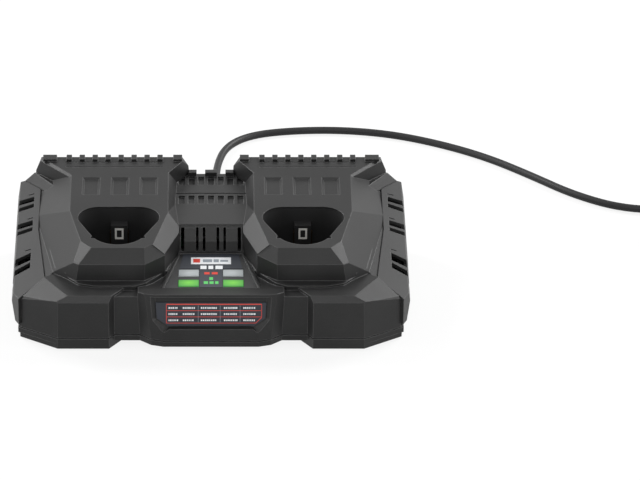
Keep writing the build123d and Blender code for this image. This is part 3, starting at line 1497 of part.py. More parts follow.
with BuildPart() as fan_bearing:
    with BuildSketch(fan_plane.offset(2.6)):
        Circle(bearing_outer)
        Circle(shaft_radius + shaft_gap, mode=Mode.SUBTRACT)
    extrude(amount=fan_depth - 2.6)
fan_bearing.part.label = "fan_bearing"
export_step(fan_bearing.part, "parts/fan_bearing.step")

with BuildPart() as fan_stator:
    with BuildSketch(fan_plane.offset(3.2)):
        Circle(bearing_outer + 0.9)
        with PolarLocations((bearing_outer + stator_radius) / 2, 4):
            Rectangle(stator_radius - bearing_outer, 2.0)
        Circle(stator_radius)
        Circle(stator_radius - 0.9, mode=Mode.SUBTRACT)
        with PolarLocations((bearing_outer + stator_radius) / 2, 4):
            Rectangle(stator_radius - bearing_outer, 2.0)
        Circle(bearing_outer + 0.9)
        Circle(bearing_outer, mode=Mode.SUBTRACT)
    extrude(amount=3.6)
fan_stator.part.label = "fan_stator"
export_step(fan_stator.part, "parts/fan_stator.step")

with BuildPart() as fan_rotor:
    with BuildSketch(fan_plane.offset(cup_front)):
        Circle(cup_outer)
        Circle(shaft_radius, mode=Mode.SUBTRACT)
    extrude(amount=cup_wall)
    with BuildSketch(fan_plane.offset(cup_front)):
        Circle(cup_outer)
        Circle(cup_inner, mode=Mode.SUBTRACT)
    extrude(amount=hub_face - 0.8 - cup_front)
    with Locations(fan_plane.offset((cup_front + hub_face - 0.8) / 2)):
        with PolarLocations((cup_outer + blade_tip) / 2 - 0.2, blade_count):
            Box(blade_tip - cup_outer + 0.4, 0.9, 6.6, rotation=(blade_pitch, 0, 0))
    with BuildPart(mode=Mode.PRIVATE) as sweep_room:
        with BuildSketch(fan_plane.offset(cup_front)):
            Circle(blade_tip)
        extrude(amount=hub_face - 0.8 - cup_front)
        with BuildSketch(fan_plane.offset(cup_front + cup_wall)):
            Circle(cup_inner)
        extrude(amount=hub_face, mode=Mode.SUBTRACT)
        with BuildSketch(fan_plane):
            Circle(shaft_radius)
        extrude(amount=hub_face, mode=Mode.SUBTRACT)
    add(sweep_room.part, mode=Mode.INTERSECT)
fan_rotor.part.label = "fan_rotor"
export_step(fan_rotor.part, "parts/fan_rotor.step")

with BuildPart() as fan_shaft:
    with BuildSketch(fan_plane.offset(cup_front)):
        Circle(shaft_radius)
    extrude(amount=fan_depth - cup_front - 0.2)
fan_shaft.part.label = "fan_shaft"
export_step(fan_shaft.part, "parts/fan_shaft.step")

with BuildPart() as fan_magnet:
    with BuildSketch(fan_plane.offset(cup_front + cup_wall + 0.8)):
        Circle(cup_inner)
        Circle(magnet_inner, mode=Mode.SUBTRACT)
    extrude(amount=4.2)
fan_magnet.part.label = "fan_magnet"
export_step(fan_magnet.part, "parts/fan_magnet.step")

# ---------------------------------------------------------------- strain relief, moulded on the cord
flange_gap = 0.1
boot_start_y = back_y + flange_gap
boot_end_y = back_y + gland_length
inner_flange_y = back_y - wall - flange_gap
with BuildPart() as strain_relief:
    with BuildSketch(Plane.YZ.offset(cord_x)):
        with BuildLine():
            Polyline(
                (inner_flange_y - gland_flange, cord_z),
                (inner_flange_y - gland_flange, cord_z + gland_flange_radius),
                (inner_flange_y, cord_z + gland_flange_radius),
                (inner_flange_y, cord_z + gland_neck_radius),
                (boot_start_y, cord_z + gland_neck_radius),
                (boot_start_y, cord_z + gland_flange_radius),
                (boot_start_y + gland_flange, cord_z + gland_flange_radius),
                (boot_start_y + gland_flange, cord_z + gland_neck_radius),
                (boot_end_y, cord_z + gland_tip_radius),
                (boot_end_y, cord_z),
                close=True,
            )
        make_face()
    revolve(axis=Axis((cord_x, 0, cord_z), (0, 1, 0)))
    # rings cut round the boot so that it bends
    for ring in range(5):
        with BuildSketch(Plane.XZ.offset(-boot_start_y - gland_flange - 4.0 - ring * 3.6)):
            with Locations((cord_x, cord_z)):
                Circle(gland_flange_radius)
                Circle(gland_tip_radius - 0.1, mode=Mode.SUBTRACT)
        extrude(amount=-1.2, mode=Mode.SUBTRACT)
strain_relief.part.label = "strain_relief"
export_step(strain_relief.part, "parts/strain_relief.step")

with BuildPart() as inner_cord:
    with BuildSketch(Plane.XZ.offset(-inner_flange_y + gland_flange)):
        with Locations((cord_x, cord_z)):
            Circle(cord_diameter / 2)
    extrude(amount=inner_flange_y - gland_flange - clamp_y + 5.0)
inner_cord.part.label = "inner_cord"
export_step(inner_cord.part, "parts/inner_cord.step")

with BuildPart() as cord_clamp:
    with Locations((cord_x, clamp_y, cord_z + 2.2)):
        Box(2 * clamp_screw_x + 6.0, 5.0, 4.4)
    with BuildSketch(Plane.XZ.offset(-clamp_y - 4.0)):
        with Locations((cord_x, cord_z)):
            Circle(cord_diameter / 2)
    extrude(amount=8.0, mode=Mode.SUBTRACT)
    with BuildSketch(level(cord_z)):
        with Locations((cord_x - clamp_screw_x, clamp_y), (cord_x + clamp_screw_x, clamp_y)):
            Circle(small_screw_radius + 0.1)
    extrude(amount=5.0, mode=Mode.SUBTRACT)
cord_clamp.part.label = "cord_clamp"
export_step(cord_clamp.part, "parts/cord_clamp.step")

with BuildPart() as clamp_screws:
    with BuildSketch(level(cord_z + 4.4)):
        with Locations((cord_x - clamp_screw_x, clamp_y), (cord_x + clamp_screw_x, clamp_y)):
            Circle(small_head_radius)
    extrude(amount=small_head_height)
    with BuildSketch(level(cord_z + 4.4)):
        with Locations((cord_x - clamp_screw_x, clamp_y), (cord_x + clamp_screw_x, clamp_y)):
            Circle(small_screw_radius)
    extrude(amount=-4.4 - small_screw_length + 0.4)
clamp_screws.part.label = "clamp_screws"
export_step(clamp_screws.part, "parts/clamp_screws.step")

# ---------------------------------------------------------------- mains leads inside
with BuildPart() as mains_leads:
    lead_start_y = clamp_y - 5.0
    terminal_back_y = terminal_y + 5.0
    lead_height = board_top_z + 3.5
    for side in (-1, 1):
        start = (cord_x, lead_start_y, cord_z + side * 1.1)
        end = (terminal_x + side * terminal_pitch / 2, terminal_back_y - 0.8, lead_height)
        with BuildLine() as lead_path:
            Bezier(
                start,
                (start[0], lead_start_y - 2.5, start[2]),
                (cord_x - 8.0, lead_start_y - 2.0, cord_z + side * 3.5),
                (end[0], terminal_back_y + 5.0, lead_height + side * 2.0),
                end,
            )
        with BuildSketch(Plane(origin=start, z_dir=lead_path.edges()[0] % 0)):
            Circle(0.9)
        sweep(path=lead_path.edges()[0])
mains_leads.part.label = "mains_leads"
export_step(mains_leads.part, "parts/mains_leads.step")

# ---------------------------------------------------------------- power cord, laid on the table
cord_radius = cord_diameter / 2
rest_z = cord_radius + 0.1
coil_x = 281.0
coil_y = 73.0
turn_spacing = cord_diameter
turn_radius = 25.0          # middle turn of three side by side
outer_turn = turn_radius + turn_spacing
entry_angle = radians(4.0)  # the cord comes in this far off the +X direction
entry_stub = 19.1
entry_x = coil_x + outer_turn * sin(entry_angle)
entry_y = coil_y + outer_turn * cos(entry_angle)
stub_x = entry_x - entry_stub * cos(entry_angle)
stub_y = entry_y + entry_stub * sin(entry_angle)
last_run = 29.0
cord_route = [
    (cord_x, boot_end_y, cord_z),
    (cord_x, back_y + 38.0, cord_z),
    (cord_x, back_y + 54.0, 9.0),
    (2.7, back_y + 73.0, rest_z + 0.6),
    (3.5, 163.0, rest_z),
    (9.0, 188.0, rest_z),
    (24.0, 203.5, rest_z),
    (50.0, 209.5, rest_z),
    (79.0, 210.0, rest_z),
    (108.0, 204.0, rest_z),
    (136.0, 190.5, rest_z),
    (162.0, 172.5, rest_z),
    (185.5, 149.0, rest_z),
    (208.5, 123.5, rest_z),
    (stub_x - last_run * cos(entry_angle), stub_y + last_run * sin(entry_angle), rest_z),
    (stub_x, stub_y, rest_z),
]
bend_radii = []
for before, corner, after in zip(cord_route, cord_route[1:], cord_route[2:]):
    run_in = Vector(*corner) - Vector(*before)
    run_out = Vector(*after) - Vector(*corner)
    turn = radians(run_in.get_angle(run_out))
    bend_radii.append(0.45 * min(run_in.length, run_out.length) / tan(turn / 2))
print("cord radii", [round(r, 1) for r in bend_radii])
with BuildPart() as power_cord:
    with BuildLine() as cord_line:
        FilletPolyline(*cord_route, radius=bend_radii)
    with BuildSketch(Plane(origin=cord_route[0], z_dir=Vector(*cord_route[1]) - Vector(*cord_route[0]))):
        Circle(cord_radius)
    sweep()
tube_length = sum(edge.length for edge in cord_line.edges())
tube_volume = pi * cord_radius**2 * tube_length
print("cord tube", round(tube_length, 1), round(power_cord.part.volume / tube_volume, 4))
power_cord.part.label = "power_cord"
export_step(power_cord.part, "parts/power_cord.step")

# ---------------------------------------------------------------- coil of the spare cord
coil_bottom_z = 0.5
coil_height = 2 * cord_diameter
coil_width = 2 * turn_spacing + cord_diameter + 0.4
coil_middle_z = coil_bottom_z + coil_height / 2
plug_z = 6.85
plug_neck_y = 40.0
with BuildPart() as power_cord_coil:
    with BuildSketch(Plane.XZ.offset(-coil_y)):
        with Locations((coil_x + turn_radius, coil_middle_z)):
            RectangleRounded(coil_width, coil_height, 2.0)
    revolve(axis=Axis((coil_x, coil_y, 0), (0, 0, 1)))
    with BuildSketch(Plane(origin=(stub_x, stub_y, rest_z), z_dir=(cos(entry_angle), -sin(entry_angle), 0))):
        Circle(cord_radius)
    extrude(amount=entry_stub)
    with BuildSketch(Plane.XZ.offset(-plug_neck_y)):
        with Locations((coil_x + outer_turn, plug_z)):
            Circle(cord_radius)
    extrude(amount=-(coil_y - plug_neck_y))
power_cord_coil.part.label = "power_cord_coil"
export_step(power_cord_coil.part, "parts/power_cord_coil.step")

tie_angle = 282.0           # where the tie goes round the coil, from +X
with BuildPart() as cord_tie:
    with BuildSketch(Plane.XZ.offset(-coil_y)):
        with Locations((coil_x + turn_radius, coil_middle_z)):
            RectangleRounded(coil_width + 2 * coil_bottom_z, coil_height + 2 * coil_bottom_z, 2.5)
            RectangleRounded(coil_width, coil_height, 2.0, mode=Mode.SUBTRACT)
    revolve(axis=Axis((coil_x, coil_y, 0), (0, 0, 1)), revolution_arc=18.0)
cord_tie.part = cord_tie.part.rotate(Axis((coil_x, coil_y, 0), (0, 0, 1)), tie_angle)
cord_tie.part.label = "cord_tie"
export_step(cord_tie.part, "parts/cord_tie.step")

# ---------------------------------------------------------------- flat two-pin plug
plug_width = 35.3
plug_height = 13.7
plug_face_y = -7.0
plug_x = coil_x + outer_turn
pin_radius = 2.0
pin_length = 19.0
pin_pitch = 18.6
with BuildPart() as plug_body:
    with BuildSketch(Plane.XZ.offset(-plug_face_y)):
        with Locations((plug_x, plug_z)):
            RectangleRounded(plug_width, plug_height, 5.5)
    extrude(amount=-16.0)
    with BuildSketch(Plane.XZ.offset(-plug_face_y - 16.0)):
        with Locations((plug_x, plug_z)):
            RectangleRounded(plug_width, plug_height, 5.5)
    with BuildSketch(Plane.XZ.offset(-plug_neck_y + 12.0)):
        with Locations((plug_x, plug_z)):
            RectangleRounded(11.0, 10.0, 4.5)
    loft()
    with BuildSketch(Plane.XZ.offset(-plug_neck_y + 12.0)):
        with Locations((plug_x, plug_z)):
            Circle(4.4)
    with BuildSketch(Plane.XZ.offset(-plug_neck_y)):
        with Locations((plug_x, plug_z)):
            Circle(3.0)
    loft()
    with BuildSketch(Plane.XZ.offset(-plug_face_y)):
        with Locations((plug_x, plug_z)):
            with GridLocations(pin_pitch, 1, 2, 1):
                Circle(pin_radius)
    extrude(amount=-6.0, mode=Mode.SUBTRACT)
plug_body.part.label = "plug_body"
export_step(plug_body.part, "parts/plug_body.step")

with BuildPart() as plug_pins:
    with BuildSketch(Plane.XZ.offset(-plug_face_y - 6.0)):
        with Locations((plug_x, plug_z)):
            with GridLocations(pin_pitch, 1, 2, 1):
                Circle(pin_radius)
    extrude(amount=6.0 + pin_length)
    fillet(plug_pins.edges().group_by(Axis.Y)[0], 1.2)
plug_pins.part.label = "plug_pins"
export_step(plug_pins.part, "parts/plug_pins.step")
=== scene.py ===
from math import cos, pi, radians, sin

import bpy
import numpy as np
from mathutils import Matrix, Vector


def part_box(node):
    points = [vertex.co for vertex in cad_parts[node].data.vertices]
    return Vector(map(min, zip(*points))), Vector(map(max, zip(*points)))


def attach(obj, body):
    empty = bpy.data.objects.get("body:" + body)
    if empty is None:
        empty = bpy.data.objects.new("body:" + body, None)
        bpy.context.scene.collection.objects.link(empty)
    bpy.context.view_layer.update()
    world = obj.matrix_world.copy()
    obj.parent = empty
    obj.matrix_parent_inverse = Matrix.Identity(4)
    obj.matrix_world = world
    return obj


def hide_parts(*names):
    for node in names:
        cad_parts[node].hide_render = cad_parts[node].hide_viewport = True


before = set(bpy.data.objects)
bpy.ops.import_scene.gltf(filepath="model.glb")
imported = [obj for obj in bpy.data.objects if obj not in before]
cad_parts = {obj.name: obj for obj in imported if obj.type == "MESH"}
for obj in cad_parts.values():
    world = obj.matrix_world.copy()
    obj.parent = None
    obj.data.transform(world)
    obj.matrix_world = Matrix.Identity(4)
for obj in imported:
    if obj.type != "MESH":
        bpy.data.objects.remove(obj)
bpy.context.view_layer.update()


# ---------------------------------------------------------------- lower housing
# The tray under the charger, with its two front feet. It is moulded from black glass-filled polyamide in a
# tool whose face was spark-eroded to a fine grain, and screwed up into the upper housing.
def linear(code):
    """An sRGB hex code as the linear colour that a shader takes, with an alpha of 1."""
    shares = [int(code[i : i + 2], 16) / 255 for i in (1, 3, 5)]
    return [*(c / 12.92 if c <= 0.04045 else ((c + 0.055) / 1.055) ** 2.4 for c in shares), 1.0]


def put(tree, kind, values=None, feeds=None, **fields):
    """Adds one node with its own fields, the numbers on its sockets, and the outputs that feed it."""
    made = tree.nodes.new(kind)
    for field, setting in fields.items():
        setattr(made, field, setting)
    for socket, value in (values or {}).items():
        made.inputs[socket].default_value = value
    for socket, source in (feeds or {}).items():
        tree.links.new(source, made.inputs[socket])
    return made


def noise(tree, place, scale, detail):
    """Fractal noise in the piece's own coordinates, with scale in grains per metre."""
    return put(tree, "ShaderNodeTexNoise", {"Scale": scale, "Detail": detail}, {"Vector": place})


def finish(name, sockets):
    """A material of one Principled shader, with its all-over numbers on the shader's own sockets."""
    material = bpy.data.materials.new(name)
    material.use_nodes = True
    tree = material.node_tree
    shader = tree.nodes["Principled BSDF"]
    for socket, value in sockets.items():
        shader.inputs[socket].default_value = value
    place = put(tree, "ShaderNodeTexCoord").outputs["Object"]
    return material, tree, shader, place


def wear(material, *names):
    """Gives CAD nodes their material, in the slots that their meshes came with."""
    for name in names:
        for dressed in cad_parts[name].material_slots:
            dressed.material = material


def eroded_polyamide(name, deep, pale, highlight_colour, grain_mm, grain_depth_mm, edge_mm, roughness):
    """Black polyamide from a spark-eroded tool. The colour drifts over patches of 30 mm, a fine grain stands
    up by its depth, and the corners are rounded by edge_mm in the shading and painted paler, a painted
    highlight on hollow and outer corners alike."""
    material, tree, shader, place = finish(name, {"IOR": 1.53, "Specular IOR Level": 0.22})
    soft = put(tree, "ShaderNodeBevel", {"Radius": edge_mm / 1000}, samples=6).outputs["Normal"]
    face = put(tree, "ShaderNodeNewGeometry").outputs["Normal"]
    turned = put(tree, "ShaderNodeVectorMath", feeds={0: soft, 1: face}, operation="DOT_PRODUCT")
    # Painted highlight: the colour goes towards the third, paler colour where the rounded shading normal
    # turns away from the face, on hollow and outer corners alike.
    edge_highlight = put(
        tree,
        "ShaderNodeMapRange",
        {"From Min": 0.995, "From Max": 0.86, "To Min": 0.0, "To Max": 1.0},
        {"Value": turned.outputs["Value"]},
    )
    drift = noise(tree, place, 33.0, 3.0)
    grain = noise(tree, place, 1000 / grain_mm, 2.0)
    blotch = put(
        tree,
        "ShaderNodeMath",
        {1: 0.45},
        {0: grain.outputs["Fac"], 2: drift.outputs["Fac"]},
        operation="MULTIPLY_ADD",
    )
    shade = put(
        tree,
        "ShaderNodeMapRange",
        {"From Min": 0.45, "From Max": 1.0, "To Min": 0.0, "To Max": 1.0},
        {"Value": blotch.outputs[0]},
    )
    skin = put(
        tree,
        "ShaderNodeMix",
        {6: linear(deep), 7: linear(pale)},
        {0: shade.outputs["Result"]},
        data_type="RGBA",
    )
    # The skin colour with the painted edge highlight mixed in.
    dressed = put(
        tree,
        "ShaderNodeMix",
        {7: linear(highlight_colour)},
        {0: edge_highlight.outputs["Result"], 6: skin.outputs[2]},
        data_type="RGBA",
    )
    matt = put(
        tree,
        "ShaderNodeMapRange",
        {"From Min": 0.3, "From Max": 0.7, "To Min": roughness - 0.05, "To Max": roughness + 0.05},
        {"Value": drift.outputs["Fac"]},
    )
    relief = put(
        tree,
        "ShaderNodeBump",
        {"Strength": 0.7, "Distance": grain_depth_mm / 1000},
        {"Height": grain.outputs["Fac"], "Normal": soft},
    )
    tree.links.new(dressed.outputs[2], shader.inputs["Base Color"])
    tree.links.new(matt.outputs["Result"], shader.inputs["Roughness"])
    tree.links.new(relief.outputs["Normal"], shader.inputs["Normal"])
    return material


# The real grain is about 0.1 mm and too fine to show, so it is drawn at 0.8 mm. It gives a soft, even black.
# Its third colour is the painted highlight on the corners.
housing_black = eroded_polyamide(
    "eroded_black_polyamide", "#1c1c1c", "#262626", "#545454", 0.8, 0.05, 0.6, 0.42
)
wear(housing_black, "lower_housing")


# ---------------------------------------------------------------- rubber feet and housing screws
# Four moulded thermoplastic rubber pads, pressed into seats under the tray, and the six zinc-plated steel
# screws that hold the two housings together from below.
def moulded(name, deep, pale, patch_mm, grain_mm, relief_mm, sockets):
    """A plain moulded or cast skin: the colour drifts between two shades over patches of one size, and a
    grain of another size stands up by the relief."""
    material, tree, shader, place = finish(name, sockets)
    drift = noise(tree, place, 1000 / patch_mm, 3.0)
    grain = noise(tree, place, 1000 / grain_mm, 2.0)
    skin = put(
        tree,
        "ShaderNodeMix",
        {6: linear(deep), 7: linear(pale)},
        {0: drift.outputs["Fac"]},
        data_type="RGBA",
    )
    relief = put(
        tree,
        "ShaderNodeBump",
        {"Strength": 0.6, "Distance": relief_mm / 1000},
        {"Height": grain.outputs["Fac"]},
    )
    tree.links.new(skin.outputs[2], shader.inputs["Base Color"])
    tree.links.new(relief.outputs["Normal"], shader.inputs["Normal"])
    return material


foot_rubber = moulded("tpe_rubber", "#161616", "#222222", 4, 0.5, 0.03, {"Roughness": 0.85, "IOR": 1.5})
zinc_steel = moulded(
    "zinc_plated_steel", "#8f9296", "#b8bbbe", 1.5, 0.3, 0.01, {"Roughness": 0.32, "Metallic": 1.0}
)
wear(foot_rubber, "rubber_feet")
wear(zinc_steel, "housing_screws", "board_screws", "clamp_screws")

# ---------------------------------------------------------------- circuit board and what is soldered to it
# A glass-epoxy board with the mains side on the left and the battery side on the right: terminal, fuse,
# choke, capacitors, transformer, and two semiconductors on their heat sinks.
board_green = moulded(
    "solder_masked_fr4", "#12381f", "#1b4d2b", 6, 0.6, 0.02, {"Roughness": 0.35, "IOR": 1.55}
)
terminal_nylon = moulded("green_nylon", "#1f6a3a", "#27804a", 5, 0.5, 0.02, {"Roughness": 0.5})
fuse_glass = moulded("fuse_glass", "#c9d2cf", "#dfe6e3", 3, 0.8, 0.004, {"Roughness": 0.08, "IOR": 1.52})
tinned_brass = moulded(
    "tinned_brass", "#a7a294", "#c4c0b4", 2, 0.3, 0.01, {"Roughness": 0.28, "Metallic": 1.0}
)
ferrite_grey = moulded("sintered_ferrite", "#26272a", "#35363a", 3, 0.25, 0.03, {"Roughness": 0.7})
sink_aluminium = moulded(
    "extruded_aluminium", "#9a9da1", "#b9bcc0", 4, 0.4, 0.015, {"Roughness": 0.38, "Metallic": 1.0}
)
epoxy_black = moulded("epoxy_moulding", "#131314", "#1d1d1f", 2, 0.25, 0.015, {"Roughness": 0.45})
sleeve_black = moulded(
    "shrunk_pet_sleeve", "#14181f", "#1d2430", 5, 1.0, 0.01, {"Roughness": 0.25, "IOR": 1.57}
)
wear(board_green, "main_board", "indicator_board")
wear(terminal_nylon, "mains_terminal")
wear(fuse_glass, "fuse")
wear(tinned_brass, "fuse_clips")
wear(ferrite_grey, "choke_core", "transformer_core")
wear(sink_aluminium, "primary_heat_sink", "secondary_heat_sink")
wear(epoxy_black, "power_transistor", "output_rectifier")
wear(sleeve_black, "bulk_capacitor", "output_capacitors")

# ---------------------------------------------------------------- windings, lamps and leads
# Enamelled copper wound on the choke and the transformer, four diffused lamps on the small board under the
# windows, and stranded leads with PVC insulation.
wire_mm = 0.6
bands_per_unit = 20
copper, copper_tree, copper_shader, copper_place = finish(
    "enamelled_copper", {"Roughness": 0.3, "Metallic": 1.0}
)
turns = put(
    copper_tree,
    "ShaderNodeTexWave",
    {"Scale": 1000 / wire_mm / bands_per_unit, "Distortion": 0.4, "Detail": 1.0},
    {"Vector": copper_place},
    bands_direction="Z",
)
# Painted shade and painted highlight: the enamel colour goes dark where the bands of the bump are low,
# between the turns, and bright where they are high.
enamel_and_painted_shade = put(
    copper_tree,
    "ShaderNodeMix",
    {6: linear("#6e3414"), 7: linear("#c4733a")},
    {0: turns.outputs["Fac"]},
    data_type="RGBA",
)
ribs = put(
    copper_tree,
    "ShaderNodeBump",
    {"Strength": 0.8, "Distance": wire_mm / 2000},
    {"Height": turns.outputs["Fac"]},
)
copper_tree.links.new(enamel_and_painted_shade.outputs[2], copper_shader.inputs["Base Color"])
copper_tree.links.new(ribs.outputs["Normal"], copper_shader.inputs["Normal"])
lamp_epoxy = moulded(
    "diffused_lamp_epoxy", "#d8e2d8", "#eef4ee", 2, 0.5, 0.01, {"Roughness": 0.2, "IOR": 1.54}
)
lead_pvc = moulded("lead_pvc", "#7c1f1c", "#92302b", 3, 0.4, 0.01, {"Roughness": 0.45})
wear(copper, "choke_winding", "transformer_winding")
wear(lamp_epoxy, "indicator_lamps")
wear(lead_pvc, "left_contact_leads", "right_contact_leads", "mains_leads")

# ---------------------------------------------------------------- fan
# A 30 mm axial fan behind the grille: a PBT frame and rotor, a brass sleeve bearing, a steel shaft, a
# ferrite ring magnet in the rotor's cup and a wound stator.
fan_pbt = moulded("glass_filled_pbt", "#151516", "#1f1f21", 5, 0.6, 0.02, {"Roughness": 0.4, "IOR": 1.55})
sleeve_brass = moulded(
    "sintered_brass", "#9c7b3c", "#b8975a", 1.5, 0.25, 0.02, {"Roughness": 0.4, "Metallic": 1.0}
)
wear(fan_pbt, "fan_frame", "fan_rotor")
wear(sleeve_brass, "fan_bearing")
wear(zinc_steel, "fan_shaft")
wear(ferrite_grey, "fan_magnet")
wear(copper, "fan_stator")

# ---------------------------------------------------------------- upper housing, grille and vent panels
# The upper housing is moulded as the lower one is. The grille is pressed into the bridge, and a vent panel
# is clipped into each side, from the same polyamide with a shallower grain, drawn a little paler.
# Its third colour is the painted highlight on the corners.
vent_black = eroded_polyamide(
    "satin_black_polyamide", "#242424", "#2f2f2f", "#5c5c5c", 0.8, 0.03, 0.5, 0.44
)
wear(housing_black, "upper_housing", "grille")
wear(vent_black, "left_vent_panel", "right_vent_panel")

# ---------------------------------------------------------------- battery sockets
# Each socket is a matt liner of black ABS and polycarbonate. Its middle post carries a front contact with a
# matt tin plating, and two side contacts of bronze strip, coloured dark as painted shade so that they sink
# into the shaded socket.
liner_black = moulded("matt_abs_pc", "#0b0b0b", "#111112", 20, 1.2, 0.02, {"Roughness": 0.6, "IOR": 1.54})
contact_tin = moulded(
    "matt_tin_plate", "#d6d5d2", "#eceae6", 3, 0.35, 0.01, {"Roughness": 0.85, "Metallic": 1.0}
)
# Painted shade: a dark brown that makes the side contacts look as shaded as the socket around them.
shade_dark_bronze = moulded(
    "bronze_in_painted_shade", "#2c241b", "#3f3427", 3, 0.35, 0.01, {"Roughness": 0.6, "Metallic": 1.0}
)
wear(liner_black, "left_socket_liner", "right_socket_liner", "left_contact_post", "right_contact_post")
wear(contact_tin, "left_front_contact", "right_front_contact")
wear(shade_dark_bronze, "left_side_contacts", "right_side_contacts")

# ---------------------------------------------------------------- indicator panel and its windows
# A satin black panel with four windows. Each battery has a clear one and a green one; the lamps behind the
# green ones are lit, and their light is painted on the windows as a glow that is brightest in the middle. The
# clear windows get a fainter painted glow of the same kind.
panel_black = moulded(
    "satin_black_abs", "#191919", "#212122", 15, 1.0, 0.02, {"Roughness": 0.5, "IOR": 1.54}
)
window_x, window_length, window_depth = 12.0, 11.2, 7.8
green_row, clear_row = -43.2, -31.4
glow_divisor = 1300  # millimetres to metres, with the glow fading out a little past the window's edges


def lit_window(name, row_mm, rim, middle, strength, sockets):
    """A diffusing window with painted light: the colour brightens and the glow grows from rim to middle by
    how near a point is to the middle of its own window, a painted pool of light, with x folded over the
    charger's middle so that both windows are alike."""
    material, tree, shader, place = finish(name, sockets)
    parts = put(tree, "ShaderNodeSeparateXYZ", feeds={0: place})
    folded = put(tree, "ShaderNodeMath", feeds={0: parts.outputs["X"]}, operation="ABSOLUTE")
    at = put(tree, "ShaderNodeCombineXYZ", feeds={"X": folded.outputs[0], "Y": parts.outputs["Y"]})
    reach = (window_length / glow_divisor, window_depth / glow_divisor, 1.0)
    glow = put(
        tree,
        "ShaderNodeMapping",
        {"Location": (window_x / 1000, row_mm / 1000, 0.0), "Scale": reach},
        {"Vector": at.outputs[0]},
        vector_type="TEXTURE",
    )
    ball = put(tree, "ShaderNodeTexGradient", feeds={"Vector": glow.outputs[0]}, gradient_type="SPHERICAL")
    grain = noise(tree, place, 1500.0, 2.0)
    lens = put(
        tree,
        "ShaderNodeMix",
        {6: linear(rim), 7: linear(middle)},
        {0: ball.outputs["Fac"]},
        data_type="RGBA",
    )
    relief = put(
        tree,
        "ShaderNodeBump",
        {"Strength": 0.4, "Distance": 0.00004},
        {"Height": grain.outputs["Fac"]},
    )
    # Painted light: the base colour and the glow both brighten towards the window's middle, though the window
    # is no lamp.
    tree.links.new(lens.outputs[2], shader.inputs["Base Color"])
    tree.links.new(lens.outputs[2], shader.inputs["Emission Color"])
    tree.links.new(relief.outputs["Normal"], shader.inputs["Normal"])
    shader.inputs["Emission Strength"].default_value = strength
    return material


# The clear window's paler middle and faint glow are painted light as well.
clear_window = lit_window(
    "frosted_clear_pc", clear_row, "#8a9092", "#b0b5b6", 0.05, {"Roughness": 0.4, "IOR": 1.58}
)
green_window = lit_window(
    "frosted_green_pc", green_row, "#107c2e", "#6cbc3a", 0.08, {"Roughness": 0.4, "IOR": 1.58}
)
wear(panel_black, "indicator_panel")
wear(clear_window, "clear_windows")
wear(green_window, "green_windows")


# ---------------------------------------------------------------- panel sticker
# A die-cut polyester sticker between the windows, screen-printed: a slate ground, a white field and plain
# marks. The inks are films on top of it.
def printed(name, corners, axes, low_mm, high_mm, material):
    """One mesh of ink films. Each film is a four-cornered patch with corners (u, v) in millimetres, at
    origin + u * across + v * up, closed from low_mm to high_mm above that plane."""
    origin, across, up = axes
    flat = np.asarray(corners, float).reshape(-1, 4, 2)
    across, up = np.asarray(across, float), np.asarray(up, float)
    out = np.cross(across, up)
    plane = np.asarray(origin, float) + (flat[..., :1] * across + flat[..., 1:] * up) / 1000
    points = np.concatenate([plane + out * low_mm / 1000, plane + out * high_mm / 1000], axis=1)
    sides = np.array([[3, 2, 1, 0], [4, 5, 6, 7], [0, 1, 5, 4], [1, 2, 6, 5], [2, 3, 7, 6], [3, 0, 4, 7]])
    faces = (np.arange(len(flat))[:, None, None] * 8 + sides).reshape(-1, 4)
    mesh = bpy.data.meshes.new(name)
    mesh.from_pydata(points.reshape(-1, 3).tolist(), [], faces.tolist())
    mesh.materials.append(material)
    piece = bpy.data.objects.new(name, mesh)
    bpy.context.scene.collection.objects.link(piece)
    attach(piece, "housing")
    return piece


def bars(*sizes):
    """Upright rectangles (left, low, right, high) as four corners each, anticlockwise."""
    left, low, right, high = np.asarray(sizes, float).T
    return np.stack([left, low, right, low, right, high, left, high], axis=1).reshape(-1, 4, 2)


def film(name, colour, roughness):
    """Screen-printed ink on polyester, with a slight orange peel of 0.8 mm."""
    return moulded(name, colour, colour, 3, 0.8, 0.006, {"Roughness": roughness, "IOR": 1.5})


slate_film = moulded("slate_polyester", "#23262d", "#2c3038", 8, 0.8, 0.006, {"Roughness": 0.5})
white_ink = film("white_ink", "#e6e8ea", 0.4)
grey_ink = film("grey_ink", "#8d949c", 0.4)
red_ink = film("red_ink", "#c83a2c", 0.45)
green_ink = film("green_ink", "#4fb45a", 0.4)
wear(slate_film, "panel_sticker")
sticker_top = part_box("panel_sticker")[1].z
panel_axes = ((0.0, 0.0, sticker_top), (1.0, 0.0, 0.0), (0.0, 1.0, 0.0))
ink_low, ink_high = -0.02, 0.04
printed(
    "sticker_white",
    bars(
        (-10.8, -21.2, 10.8, -13.3),
        (-5.7, -26.9, -2.4, -23.0),
        (-1.4, -26.9, 1.2, -23.0),
        (2.4, -26.9, 6.3, -23.0),
    ),
    panel_axes,
    ink_low,
    ink_high,
    white_ink,
)
printed(
    "sticker_grey",
    bars((-4.4, -18.9, 0.6, -15.6), (1.4, -18.9, 4.2, -15.6), (5.0, -18.4, 9.2, -16.4)),
    panel_axes,
    ink_high - 0.02,
    ink_high + 0.03,
    grey_ink,
)
printed(
    "sticker_red",
    bars((-9.6, -19.4, -5.9, -15.0), (-3.6, -33.2, -0.8, -30.6), (0.4, -33.2, 3.6, -30.6)),
    panel_axes,
    ink_low,
    ink_high + 0.04,
    red_ink,
)
printed(
    "sticker_green",
    bars(
        (-3.9, -44.2, -1.6, -41.2),
        (-0.8, -44.2, 1.4, -41.2),
        (2.2, -44.2, 4.0, -41.2),
        (-0.9, -39.6, 1.1, -36.4),
    ),
    panel_axes,
    ink_low,
    ink_high,
    green_ink,
)

